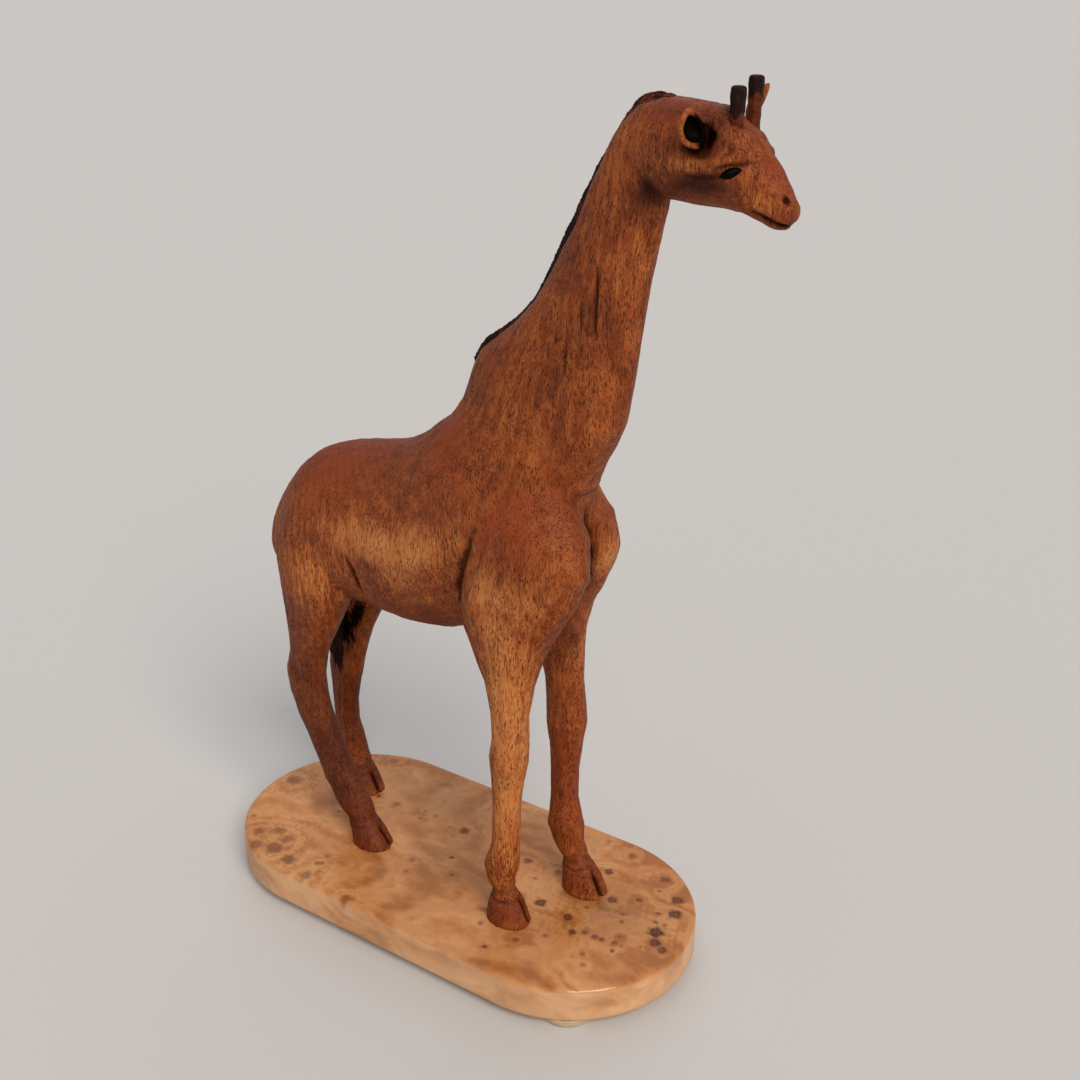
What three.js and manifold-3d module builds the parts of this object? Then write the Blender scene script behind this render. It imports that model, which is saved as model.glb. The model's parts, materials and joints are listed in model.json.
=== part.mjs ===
// A carved wooden giraffe on a burl base: millimetres, +Z up, +X the way the animal faces.
//
// The origin is the middle of the whole statue's footprint, on the surface it stands on.
// The figure is one carved blank. Its mane, ears, horns, eyes and tail are let into it, and
// four screws hold it down through the base, which stands on four bumper feet.

import * as THREE from "three";
import { mergeVertices } from "three/addons/utils/BufferGeometryUtils.js";
import Module from "manifold-3d";

const wasm = await Module();
wasm.setup();

// ---------------------------------------------------------------- driving dimensions

const BASE_LENGTH = 184;
const BASE_WIDTH = 89.2;
const BASE_THICKNESS = 12.7;
const BASE_EDGE_ROUND = 1.6;

const FOOT_DIAMETER = 20;
const FOOT_HEIGHT = 3;
const FOOT_INSET_X = 26; // from the end of the base to a foot's axis
const FOOT_INSET_Y = 15.6; // from the long side of the base to a foot's axis

const FIGURE_TURN = THREE.MathUtils.degToRad(-3.4); // the figure stands slightly askew
const FIT = 0.3; // clearance of every let-in piece
const GLUE_LINE = 0.1; // under the hooves

const SCREW_HEAD_DIAMETER = 7;
const SCREW_HEAD_DEPTH = 2.4;
const SCREW_SHANK_DIAMETER = 3.5;
const SCREW_LENGTH = 20;
const SCREW_SINK = 0.8; // of the head below the base's underside

const MANE_THICKNESS = 3.4;
const MANE_PROUD = 2.3;
const MANE_DEPTH = 2.4;

const HORN_DIAMETER = 4.4;
const HORN_LENGTH = 14;
const HORN_TENON = 4;

const EYE_LENGTH = 6.4;
const EYE_HEIGHT = 2.7;
const EYE_THICKNESS = 3.2;

const FACETS = { trunk: 28, neck: 24, head: 20, leg: 16, small: 12, round: 24 };

// ---------------------------------------------------------------- stations of the carving
// All of these are in the figure's own frame: x forward, y to its left, z above the base.

// Trunk, rump to chest: x, lowest z, highest z, half width.
const TRUNK = [
  [-80, 104, 117, 7],
  [-76.4, 97, 127, 14],
  [-69.5, 93, 137.4, 18.2],
  [-60, 92, 146, 21.5],
  [-48, 93, 150.8, 22.5],
  [-34, 93.5, 154, 22.5],
  [-20, 93, 157.7, 23],
  [-8, 93.5, 164.8, 23.5],
  [4, 95.5, 174, 24],
  [18, 100, 180, 23.5],
  [32, 105, 176, 22.5],
  [44, 112, 166, 19],
  [51, 124, 156, 12],
];

// Neck, withers to poll: z, middle x, half length, half width.
const NECK = [
  [148, 24, 27, 21.5],
  [160, 23.4, 31, 20.5],
  [170, 29.3, 30, 18],
  [178, 34.2, 29, 15.6],
  [186, 36.6, 28.6, 13.8],
  [194, 39.2, 27.5, 12.2],
  [202, 44.8, 22.8, 11],
  [212, 50.3, 18.5, 9.8],
  [224, 55, 15.8, 8.7],
  [236, 59.6, 13.9, 7.8],
  [246, 63, 13, 7.3],
  [256, 67, 11.8, 7.5],
  [264, 70, 9.8, 7.2],
  [269.4, 71.6, 5.6, 5],
];

// Head, poll to muzzle: x, lowest z, highest z, half width.
const HEAD = [
  [62, 251, 264, 4.5],
  [66, 247, 269.4, 7.4],
  [73, 245.6, 271.8, 9.2],
  [81, 245, 271.6, 10.6],
  [89, 244.8, 270.4, 11.5],
  [95, 244.6, 268.2, 11.3],
  [100, 243.8, 265.2, 9.8],
  [104, 242.3, 261, 7.5],
  [108, 240.9, 256.6, 5.9],
  [111.5, 241.3, 252.2, 4.8],
  [113.2, 243, 249.8, 3.4],
  [114.2, 244.8, 248, 1.6],
];

// Legs, from inside the trunk down to the hoof: z, middle x, middle y (outwards is
// positive), half length, half width.
const FRONT_RIGHT_LEG = [
  [163, 33, 8, 12, 7],
  [154, 37, 9.6, 16, 10.6],
  [144, 39.7, 11, 19.3, 13],
  [133, 39, 11.8, 21, 13.6],
  [122, 35, 12.2, 22, 12.6],
  [111, 31.9, 13, 18.6, 10.8],
  [101, 32.6, 14, 13.2, 9],
  [91, 34.3, 15, 8.8, 7.2],
  [80, 35.2, 15.8, 6.7, 6.1],
  [71, 35.7, 16, 6.4, 6],
  [63, 35.1, 16, 7, 6.4],
  [55, 34.7, 16, 5.6, 5.6],
  [44, 34.4, 16, 4.9, 4.9],
  [30, 34.1, 16, 4.9, 4.9],
  [21, 32.7, 16, 5.9, 5.5],
  [15.5, 32.2, 16, 4.9, 4.9],
  [11, 33.4, 16, 4.2, 4.3],
  [6.5, 34.8, 16, 6.6, 5.8],
  [0, 35.8, 16, 8.6, 6.9],
];
const FRONT_LEFT_LEG = [
  [162, 31, 8, 9.5, 6],
  [154, 34, 9.4, 13.6, 10],
  [144, 37, 10.8, 17.4, 13],
  [133, 36.4, 11.6, 18, 13.6],
  [122, 32.4, 12, 17, 12.6],
  [111, 30.9, 12.6, 13.8, 10.8],
  [101, 31.7, 13.4, 10.8, 9],
  [92, 33.4, 14.2, 8.3, 7.2],
  [81, 34.7, 14.5, 7.2, 6.1],
  [72, 35.8, 14.5, 7.4, 6],
  [65, 36.3, 14.3, 7.6, 6.4],
  [56, 36.4, 14.2, 5.9, 5.6],
  [46, 36.4, 14, 5, 4.9],
  [34, 36.6, 13.9, 5.1, 5],
  [23.5, 37.6, 13.8, 6.7, 5.7],
  [17, 39.2, 13.7, 5.8, 5],
  [12, 42.2, 13.6, 5.2, 4.8],
  [6.5, 45, 13.6, 7.2, 6.1],
  [0, 46.6, 13.6, 8.8, 7],
];
const HIND_RIGHT_LEG = [
  [137, -54, 8, 11, 8],
  [129, -55, 9.2, 14.6, 11.5],
  [118, -55, 10.4, 17.2, 13],
  [108, -55.2, 11.2, 16.8, 12.8],
  [98, -55.6, 12, 15.5, 11],
  [88, -57, 12.7, 12.4, 8.7],
  [79, -58.8, 13, 9.8, 7.3],
  [71, -60.6, 13, 7.9, 6.3],
  [61, -62.9, 13, 8.5, 6],
  [53, -61.8, 13, 8.3, 5.7],
  [44, -58, 13, 7.8, 5.3],
  [33, -52.2, 13, 7.6, 5.1],
  [22, -45.8, 13, 7.9, 5.3],
  [14, -40.4, 13, 7.7, 5.5],
  [9, -36.6, 13, 6.4, 5.2],
  [5, -33.4, 13, 7, 6],
  [0, -31.4, 13, 8.2, 7],
];
const HIND_LEFT_LEG = [
  [137, -54, 8, 11, 8],
  [129, -55, 9.2, 14.6, 11.5],
  [118, -55, 10.4, 17.2, 13],
  [108, -55.2, 11.2, 16.8, 12.8],
  [98, -56.2, 12, 15, 11],
  [88, -58, 12.8, 11.8, 8.7],
  [79, -60.2, 13.3, 9.4, 7.3],
  [71, -63, 13.5, 7.6, 6.3],
  [61, -66.6, 13.5, 7.8, 6],
  [53, -68.6, 13.5, 7.6, 5.7],
  [46, -69.5, 13.5, 6.6, 5.2],
  [36, -70, 13.5, 5, 4.8],
  [27, -69.6, 13.5, 4.9, 4.7],
  [20, -67.8, 13.4, 5.5, 5],
  [14, -65.2, 13.2, 5.2, 4.8],
  [9, -63, 12.8, 6, 5.4],
  [5, -61.2, 12.4, 7.2, 6.2],
  [0, -59.6, 12, 8.4, 7],
];

// Crest of the nape that the mane stands on, withers to poll: x, z.
const NAPE = [
  [8.2, 189.5],
  [12.8, 195.5],
  [21.2, 200.8],
  [29.8, 208],
  [36, 216.6],
  [41, 226.5],
  [47, 238],
  [52.8, 249.2],
  [58.4, 258.4],
  [63, 265.2],
  [68, 269.9],
  [75.5, 271.6],
];

// ---------------------------------------------------------------- materials

const material = (color, roughness, metalness = 0) =>
  new THREE.MeshStandardMaterial({ color, roughness, metalness });

const STAINED_WOOD = material(0x9a5328, 0.45);
const BURNT_WOOD = material(0x2a1712, 0.8);
const BLACK_INLAY = material(0x0d0a09, 0.3);
const BURL = material(0xc39064, 0.25);
const BRASSED_STEEL = material(0xb59a5a, 0.35, 1);
const PALE_RUBBER = material(0xd9d2b8, 0.6);

// ---------------------------------------------------------------- geometry helpers

/** Catmull-Rom rows between the given stations, `steps` of them in each gap. */
function refine(stations, steps) {
  const at = (i) => stations[Math.min(Math.max(i, 0), stations.length - 1)];
  const rows = [];
  for (let i = 0; i < stations.length - 1; i++) {
    for (let s = 0; s < steps; s++) {
      const t = s / steps;
      rows.push(at(i).map((value, k) => {
        const [before, next, after] = [at(i - 1)[k], at(i + 1)[k], at(i + 2)[k]];
        const slope = (next - before) / 2;
        const nextSlope = (after - value) / 2;
        const bend = 3 * (next - value) - 2 * slope - nextSlope;
        const twist = 2 * (value - next) + slope + nextSlope;
        return value + t * (slope + t * (bend + t * twist));
      }));
    }
  }
  rows.push(at(stations.length - 1));
  return rows;
}

/** An elliptical ring of points about a centre, spanned by two half-axis vectors. */
function ring(centre, u, v, sides) {
  return Array.from({ length: sides }, (_, i) => {
    const angle = (2 * Math.PI * i) / sides;
    return centre.clone().addScaledVector(u, Math.cos(angle)).addScaledVector(v, Math.sin(angle));
  });
}

/** A closed solid through the rings, with a fan at each end. */
function loft(rings) {
  const sides = rings[0].length;
  const points = rings.flat();
  const middle = (points_) => points_
    .reduce((sum, p) => sum.add(p), new THREE.Vector3())
    .divideScalar(points_.length);
  const first = points.push(middle(rings[0])) - 1;
  const last = points.push(middle(rings.at(-1))) - 1;
  const top = (rings.length - 1) * sides;
  const index = [];
  for (let i = 0; i < sides; i++) {
    const j = (i + 1) % sides;
    index.push(first, j, i, last, top + i, top + j);
    for (let r = 0; r < rings.length - 1; r++) {
      const [a, b] = [r * sides + i, r * sides + j];
      index.push(a, b, b + sides, a, b + sides, a + sides);
    }
  }
  const geometry = new THREE.BufferGeometry().setFromPoints(points);
  geometry.setIndex(index);
  return outward(geometry);
}

/** Turns the faces round where they point into the solid. */
function outward(geometry) {
  const [a, b, c] = [new THREE.Vector3(), new THREE.Vector3(), new THREE.Vector3()];
  const position = geometry.attributes.position;
  const index = geometry.index.array;
  let volume = 0;
  for (let i = 0; i < index.length; i += 3) {
    a.fromBufferAttribute(position, index[i]);
    b.fromBufferAttribute(position, index[i + 1]);
    c.fromBufferAttribute(position, index[i + 2]);
    volume += a.dot(b.cross(c));
  }
  if (volume < 0) {
    for (let i = 0; i < index.length; i += 3) {
      [index[i], index[i + 1]] = [index[i + 1], index[i]];
    }
  }
  return geometry;
}

/** Rings across X, for the trunk and the head. */
function uprightLoft(stations, sides, steps) {
  return loft(refine(stations, steps).map(([x, low, high, half]) => ring(
    new THREE.Vector3(x, 0, (low + high) / 2),
    new THREE.Vector3(0, half, 0),
    new THREE.Vector3(0, 0, (high - low) / 2),
    sides,
  )));
}

/** Level rings, for the neck. */
function neckLoft(stations, sides, steps) {
  return loft(refine(stations, steps).map(([z, x, halfLength, halfWidth]) => ring(
    new THREE.Vector3(x, 0, z),
    new THREE.Vector3(halfLength, 0, 0),
    new THREE.Vector3(0, halfWidth, 0),
    sides,
  )));
}

/** Level rings down a leg; side is 1 for the animal's left and -1 for its right. */
function legLoft(stations, side, sides, steps) {
  return loft(refine(stations, steps).map(([z, x, out, halfLength, halfWidth]) => ring(
    new THREE.Vector3(x, side * out, z),
    new THREE.Vector3(halfLength, 0, 0),
    new THREE.Vector3(0, halfWidth, 0),
    sides,
  )));
}

/** A manifold-3d solid of a closed three.js geometry. */
function solid(geometry) {
  const bare = geometry.clone();
  bare.deleteAttribute("normal");
  bare.deleteAttribute("uv");
  const merged = mergeVertices(bare, 1e-5);
  return new wasm.Manifold(new wasm.Mesh({
    numProp: 3,
    vertProperties: new Float32Array(merged.attributes.position.array),
    triVerts: new Uint32Array(merged.index.array),
  }));
}

/** A three.js geometry of a manifold-3d solid. */
function geometryOf(body) {
  const mesh = body.getMesh();
  const geometry = new THREE.BufferGeometry();
  geometry.setAttribute("position", new THREE.BufferAttribute(mesh.vertProperties, mesh.numProp));
  geometry.setIndex(new THREE.BufferAttribute(mesh.triVerts, 1));
  geometry.computeVertexNormals();
  return geometry;
}

const join = (bodies) => bodies.reduce((whole, body) => whole.add(body));
const cut = (body, tools) => tools.reduce((rest, tool) => rest.subtract(tool), body);

/** A geometry put at a place, after a turn about X, Y and Z. */
function placed(geometry, position, turn = [0, 0, 0]) {
  const matrix = new THREE.Matrix4().compose(
    new THREE.Vector3(...position),
    new THREE.Quaternion().setFromEuler(new THREE.Euler(...turn, "XYZ")),
    new THREE.Vector3(1, 1, 1),
  );
  return geometry.clone().applyMatrix4(matrix);
}

/** A solid turned about +Z, from [radius, height] points that start and end on the axis. */
function turned(profile, segments) {
  const points = profile.map(([radius, height]) => new THREE.Vector2(radius, height));
  return new THREE.LatheGeometry(points, segments).rotateX(Math.PI / 2);
}

function mesh(name, geometry, finish) {
  const part = new THREE.Mesh(geometry, finish);
  part.name = name;
  return part;
}

// ---------------------------------------------------------------- let-in pieces

/** The mane's outline beside the nape: `proud` above the crest and `deep` below it. */
function maneSlab(proud, deep, thickness) {
  const crest = new THREE.SplineCurve(NAPE.map(([x, z]) => new THREE.Vector2(x, z)));
  const steps = 26;
  const outer = [];
  const inner = [];
  for (let i = 0; i <= steps; i++) {
    const t = i / steps;
    const point = crest.getPoint(t);
    const along = crest.getTangent(t);
    const out = new THREE.Vector2(-along.y, along.x);
    const rise = Math.min(1, 6 * t + 0.15, 5 * (1 - t) + 0.15);
    outer.push(point.clone().addScaledVector(out, proud * rise));
    inner.unshift(point.clone().addScaledVector(out, -deep));
  }
  const slab = new THREE.ExtrudeGeometry(new THREE.Shape([...outer, ...inner]), {
    depth: thickness,
    bevelEnabled: false,
    steps: 1,
  });
  return slab.rotateX(Math.PI / 2).translate(0, thickness / 2, 0);
}

/** A horn: a dowel with a softened flat top, its tenon reaching below z = 0. */
function hornDowel(slack) {
  const radius = HORN_DIAMETER / 2 + slack;
  const round = 0.6;
  return turned([
    [0, -HORN_TENON - slack],
    [radius * 0.8, -HORN_TENON - slack],
    [radius * 0.88, HORN_LENGTH * 0.45],
    [radius, HORN_LENGTH * 0.62],
    [radius, HORN_LENGTH - HORN_TENON - round],
    [radius - round, HORN_LENGTH - HORN_TENON],
    [0, HORN_LENGTH - HORN_TENON + 0.2],
  ], FACETS.small);
}

/** The full leaf of an ear, standing on z = -1, before it is hollowed. */
function earLeaf([length, width, thickness], slack) {
  return new THREE.SphereGeometry(1, FACETS.small, 12)
    .rotateX(Math.PI / 2)
    .scale(width / 2 + slack, thickness / 2 + slack, length / 2 + slack)
    .translate(0, 0, length / 2 - 1);
}

/** A hollow leaf-shaped ear with its tenon along -Z, opening towards +Y. */
function earShell(size) {
  const [length, width, thickness] = size;
  const hollow = new THREE.SphereGeometry(1, FACETS.small, 10)
    .rotateX(Math.PI / 2)
    .scale(width * 0.36, thickness * 0.42, length * 0.37)
    .translate(0, thickness * 0.34, length * 0.54);
  return solid(earLeaf(size, 0)).subtract(solid(hollow)).add(solid(earTenon(0)));
}

function earTenon(slack) {
  return turned([
    [0, -3.5 - slack],
    [2 + slack, -3.5 - slack],
    [2.2 + slack, 2.5],
    [0, 2.5],
  ], FACETS.small);
}

/** An almond-shaped eye bead, long along X. */
function eyeBead(slack) {
  return new THREE.SphereGeometry(1, FACETS.small, 10)
    .rotateX(Math.PI / 2)
    .scale(EYE_LENGTH / 2 + slack, EYE_THICKNESS / 2 + slack, EYE_HEIGHT / 2 + slack);
}

// Tail, dock to tip of the tuft: x, y, z, radius.
const TAIL = [
  [-72, 0, 117, 2.6],
  [-79.5, 0, 117, 2.6],
  [-84, 0, 113.5, 2.3],
  [-84.5, 0, 105, 1.9],
  [-81, 0.5, 96, 1.7],
  [-75, 2, 88, 1.9],
  [-68.8, 3.2, 80, 2.8],
  [-65.4, 3.8, 71, 3.1],
  [-64.6, 4, 63, 2.2],
  [-64.8, 4, 58, 0.8],
];

function tailLoft(slack) {
  const rows = refine(TAIL, 3);
  return loft(rows.map(([x, y, z, radius], i) => {
    const before = rows[Math.max(i - 1, 0)];
    const after = rows[Math.min(i + 1, rows.length - 1)];
    const along = new THREE.Vector3(after[0] - before[0], after[1] - before[1], after[2] - before[2]);
    const across = new THREE.Vector3(0, 1, 0);
    const up = across.clone().cross(along).normalize();
    return ring(
      new THREE.Vector3(x, y, z),
      across.multiplyScalar(radius + slack),
      up.multiplyScalar(radius + slack),
      12,
    );
  }));
}

/** A countersunk wood screw, head down, with its underside at z = 0. */
function woodScrew(slack) {
  const head = SCREW_HEAD_DIAMETER / 2 + slack;
  const shank = SCREW_SHANK_DIAMETER / 2 + slack;
  return turned([
    [0, 0],
    [head, 0],
    [head, 0.4],
    [shank, SCREW_HEAD_DEPTH],
    [shank, SCREW_LENGTH - 4],
    [0.4 + slack, SCREW_LENGTH + slack],
    [0, SCREW_LENGTH + slack],
  ], FACETS.small);
}

// ---------------------------------------------------------------- base and feet

const statue = new THREE.Group();
const baseTop = FOOT_HEIGHT + BASE_THICKNESS;

const LEGS = [
  ["front_right", FRONT_RIGHT_LEG, -1],
  ["front_left", FRONT_LEFT_LEG, 1],
  ["hind_right", HIND_RIGHT_LEG, -1],
  ["hind_left", HIND_LEFT_LEG, 1],
];

/** Where a leg's hoof stands on the base, after the figure's slight turn. */
function hoofPlace([, stations, side]) {
  const [, x, out] = stations.at(-1);
  const place = new THREE.Vector3(x, side * out, 0);
  return place.applyAxisAngle(new THREE.Vector3(0, 0, 1), FIGURE_TURN);
}

function stadium(length, width) {
  const radius = width / 2;
  const reach = length / 2 - radius;
  const outline = new THREE.Shape();
  outline.moveTo(-reach, -radius);
  outline.lineTo(reach, -radius);
  outline.absarc(reach, 0, radius, -Math.PI / 2, Math.PI / 2, false);
  outline.lineTo(-reach, radius);
  outline.absarc(-reach, 0, radius, Math.PI / 2, (3 * Math.PI) / 2, false);
  return outline;
}

function burlBase() {
  const round = BASE_EDGE_ROUND;
  const slab = new THREE.ExtrudeGeometry(
    stadium(BASE_LENGTH - 2 * round, BASE_WIDTH - 2 * round),
    {
      depth: BASE_THICKNESS - 2 * round,
      bevelThickness: round,
      bevelSize: round,
      bevelSegments: 3,
      curveSegments: 22,
    },
  ).translate(0, 0, FOOT_HEIGHT + round);
  const holes = LEGS.map((leg) => {
    const { x, y } = hoofPlace(leg);
    return solid(placed(woodScrew(FIT), [x, y, FOOT_HEIGHT + SCREW_SINK]));
  });
  const mouths = LEGS.map((leg) => {
    const { x, y } = hoofPlace(leg);
    const radius = SCREW_HEAD_DIAMETER / 2 + FIT;
    return solid(placed(turned([
      [0, 0],
      [radius, 0],
      [radius, SCREW_SINK + 1.1],
      [0, SCREW_SINK + 1.1],
    ], FACETS.small), [x, y, FOOT_HEIGHT - 1]));
  });
  return geometryOf(cut(solid(slab), [...holes, ...mouths]));
}

function bumperFoot() {
  const radius = FOOT_DIAMETER / 2;
  return turned([
    [0, 0],
    [radius - 1.6, 0],
    [radius - 0.5, 0.6],
    [radius, 1.6],
    [radius, FOOT_HEIGHT],
    [0, FOOT_HEIGHT],
  ], FACETS.round);
}

statue.add(mesh("burl_base", burlBase(), BURL));

for (const [end, alongX] of [["front", 1], ["rear", -1]]) {
  for (const [side, alongY] of [["right", -1], ["left", 1]]) {
    const foot = mesh(`bumper_foot_${end}_${side}`, bumperFoot(), PALE_RUBBER);
    foot.position.set(
      alongX * (BASE_LENGTH / 2 - FOOT_INSET_X),
      alongY * (BASE_WIDTH / 2 - FOOT_INSET_Y),
      0,
    );
    statue.add(foot);
  }
}

for (const leg of LEGS) {
  const screw = mesh(`leg_screw_${leg[0]}`, woodScrew(0), BRASSED_STEEL);
  const { x, y } = hoofPlace(leg);
  screw.position.set(x, y, FOOT_HEIGHT + SCREW_SINK);
  statue.add(screw);
}

// ---------------------------------------------------------------- the carved figure

const figure = new THREE.Group();
figure.position.z = baseTop + GLUE_LINE;
figure.rotation.z = FIGURE_TURN;

// Let-in pieces' places in the figure's frame. The right ear faces the side, like a cup; the
// left one is cocked up and out.
const HORN_PLACES = { right: [96.8, -4.4, 266.2], left: [96.8, 4.4, 267.4] };
const EYE_PLACES = { right: [97.6, -10.1, 255.4], left: [97.6, 10.1, 255.4] };
const EARS = {
  right: { place: [87.5, -9, 264], turn: [1.35, 0.35, 0.35], size: [11.5, 9.5, 6] },
  left: { place: [89.2, 8.5, 266.6], turn: [-0.62, 0.42, -2.2], size: [14, 7, 4.6] },
};

const hornPlaced = (side, slack) => placed(hornDowel(slack), HORN_PLACES[side]);
const eyePlaced = (side, slack) => {
  const lean = side === "right" ? 1 : -1;
  return placed(eyeBead(slack), EYE_PLACES[side], [0, -0.32, lean * 0.3]);
};

/** The blank joined from its masses, before anything is let into it. */
function carvedBlank() {
  const legs = LEGS.map(([, stations, side]) => solid(legLoft(stations, side, FACETS.leg, 1)));
  return join([
    solid(uprightLoft(TRUNK, FACETS.trunk, 2)),
    solid(neckLoft(NECK, FACETS.neck, 2)),
    solid(uprightLoft(HEAD, FACETS.head, 2)),
    ...legs,
  ]);
}

function carvedFigure() {
  const sides = ["right", "left"];
  const pilots = LEGS.map(([, stations, side]) => {
    const [, x, out] = stations.at(-1);
    const drop = BASE_THICKNESS - SCREW_SINK + GLUE_LINE;
    return solid(placed(woodScrew(FIT), [x, side * out, -drop]));
  });
  const sockets = sides.flatMap((side) => [
    solid(hornPlaced(side, FIT)),
    solid(eyePlaced(side, FIT)),
    ...[earTenon(FIT), earLeaf(EARS[side].size, FIT)]
      .map((tool) => solid(placed(tool, EARS[side].place, EARS[side].turn))),
  ]);
  const groove = solid(maneSlab(MANE_PROUD + 4, MANE_DEPTH + FIT, MANE_THICKNESS + 2 * FIT));
  return cut(carvedBlank(), [...pilots, ...sockets, groove, solid(tailLoft(FIT))]);
}

const figureSolid = carvedFigure();
figure.add(mesh("carved_figure", geometryOf(figureSolid), STAINED_WOOD));
figure.add(mesh("mane_strip", maneSlab(MANE_PROUD, MANE_DEPTH, MANE_THICKNESS), BURNT_WOOD));
figure.add(mesh("tail", tailLoft(0), BURNT_WOOD));

for (const side of ["right", "left"]) {
  const { place, turn, size } = EARS[side];
  const ear = placed(geometryOf(earShell(size)), place, turn);
  figure.add(mesh(`ear_${side}`, ear, STAINED_WOOD));
  figure.add(mesh(`ossicone_${side}`, hornPlaced(side, 0), BURNT_WOOD));
  figure.add(mesh(`eye_${side}`, eyePlaced(side, 0), BLACK_INLAY));
}

statue.add(figure);

// The footprint's middle comes to x = 0. It is already at y = 0.
const extent = new THREE.Box3().setFromObject(statue, true);
statue.position.x = -(extent.min.x + extent.max.x) / 2;

export default statue;
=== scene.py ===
"""The looks of a carved giraffe statue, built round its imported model.

Every object is in metres in the model's frame: +X is the way the animal faces, +Y its left, +Z up,
with the resting surface at z = 0. Shapes are carved in the figure's own millimetres and then moved
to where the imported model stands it.
"""

from __future__ import annotations

import json
import logging
import math
from dataclasses import dataclass, replace
from enum import Enum
from typing import Callable, Sequence

import bmesh
import bpy
import numpy as np
from mathutils import Matrix, Vector
from mathutils.kdtree import KDTree

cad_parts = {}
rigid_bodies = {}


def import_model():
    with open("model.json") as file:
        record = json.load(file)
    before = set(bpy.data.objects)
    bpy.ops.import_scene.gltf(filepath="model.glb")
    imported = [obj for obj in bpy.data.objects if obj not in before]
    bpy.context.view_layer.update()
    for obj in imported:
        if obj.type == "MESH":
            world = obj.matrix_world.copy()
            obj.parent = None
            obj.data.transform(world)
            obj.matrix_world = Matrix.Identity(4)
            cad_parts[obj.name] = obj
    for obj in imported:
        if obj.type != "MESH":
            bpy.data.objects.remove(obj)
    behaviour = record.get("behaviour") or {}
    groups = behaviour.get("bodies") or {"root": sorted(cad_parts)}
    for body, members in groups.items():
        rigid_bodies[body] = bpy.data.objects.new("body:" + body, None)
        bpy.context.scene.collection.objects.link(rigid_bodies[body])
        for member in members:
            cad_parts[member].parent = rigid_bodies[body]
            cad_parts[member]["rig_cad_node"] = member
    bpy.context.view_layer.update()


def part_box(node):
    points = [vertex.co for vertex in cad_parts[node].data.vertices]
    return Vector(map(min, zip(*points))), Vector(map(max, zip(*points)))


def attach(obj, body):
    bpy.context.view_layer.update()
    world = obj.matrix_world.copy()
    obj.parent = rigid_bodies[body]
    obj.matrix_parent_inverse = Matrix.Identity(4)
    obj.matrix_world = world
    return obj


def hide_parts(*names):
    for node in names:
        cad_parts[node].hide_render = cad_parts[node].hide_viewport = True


log = logging.getLogger("giraffe")

MM = 0.001
ROOT = "root"
Points = np.ndarray
Path = Sequence[Sequence[float]]
Triple = tuple[float, float, float]
Socket = bpy.types.NodeSocket
Material = bpy.types.Material
Mesh = bpy.types.Mesh
Piece = bpy.types.Object


class Side(Enum):
    """The animal's two sides, each with its sign along Y."""

    RIGHT = -1
    LEFT = 1


class Slot(Enum):
    """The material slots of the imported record."""

    STAINED_WOOD = "stained_wood"
    BURNT_WOOD = "burnt_wood"
    BLACK_INLAY = "black_inlay"
    BURL = "burl"
    PALE_RUBBER = "pale_rubber"


class Mark(Enum):
    """What is stored per vertex for a finish to read."""

    END_GRAIN = "end_grain"
    # Painted shade in creases, cuts and holes.
    HOLLOW = "hollow"
    # Real stain, and painted shade under the belly, round the right ear, in the cheek's hollow, at the throat, along
    # the chest's cleft and down the near hind leg.
    STAINED = "deep_stain"
    RED = "red_stain"
    # Sanded paler wood, and painted highlight on the right cheek's ridge and a temple facet.
    PALE = "pale_wood"
    # Char, and painted shadow in the recess under the right ear and along the chest's cleft.
    SOOT = "soot"
    EYE = "burl_eye"
    HALO = "burl_halo"
    SWIRL = "burl_swirl"
    GREY = "burl_grey"
    EDGE = "eased_edge"
    # Painted light: the upright faces of the slab are painted paler.
    SIDE = "sawn_side"


# ---------------------------------------------------------------- colours and nodes


def linear(colour: str) -> tuple[float, float, float, float]:
    """Turns an sRGB hex colour into linear RGBA.

    Args:
        colour: The colour as "#rrggbb".

    Returns:
        Linear red, green and blue, and an alpha of 1.
    """
    channels = [int(colour[i : i + 2], 16) / 255 for i in (1, 3, 5)]
    red, green, blue = (c / 12.92 if c <= 0.04045 else ((c + 0.055) / 1.055) ** 2.4 for c in channels)
    return red, green, blue, 1.0


def add_node(tree: bpy.types.NodeTree, kind: str, inputs: dict | None = None, **settings) -> bpy.types.Node:
    """Adds a node with its settings, its values and its links.

    Args:
        tree: The node tree that gets the node.
        kind: The node's type name.
        inputs: Input name or number to a value, a hex colour, or the output socket that feeds it.
        **settings: Attributes to set on the node itself.

    Returns:
        The new node.
    """
    made = tree.nodes.new(kind)
    for name, value in settings.items():
        setattr(made, name, value)
    for key, value in (inputs or {}).items():
        if isinstance(value, Socket):
            tree.links.new(value, made.inputs[key])
        else:
            made.inputs[key].default_value = linear(value) if isinstance(value, str) else value
    return made


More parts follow.
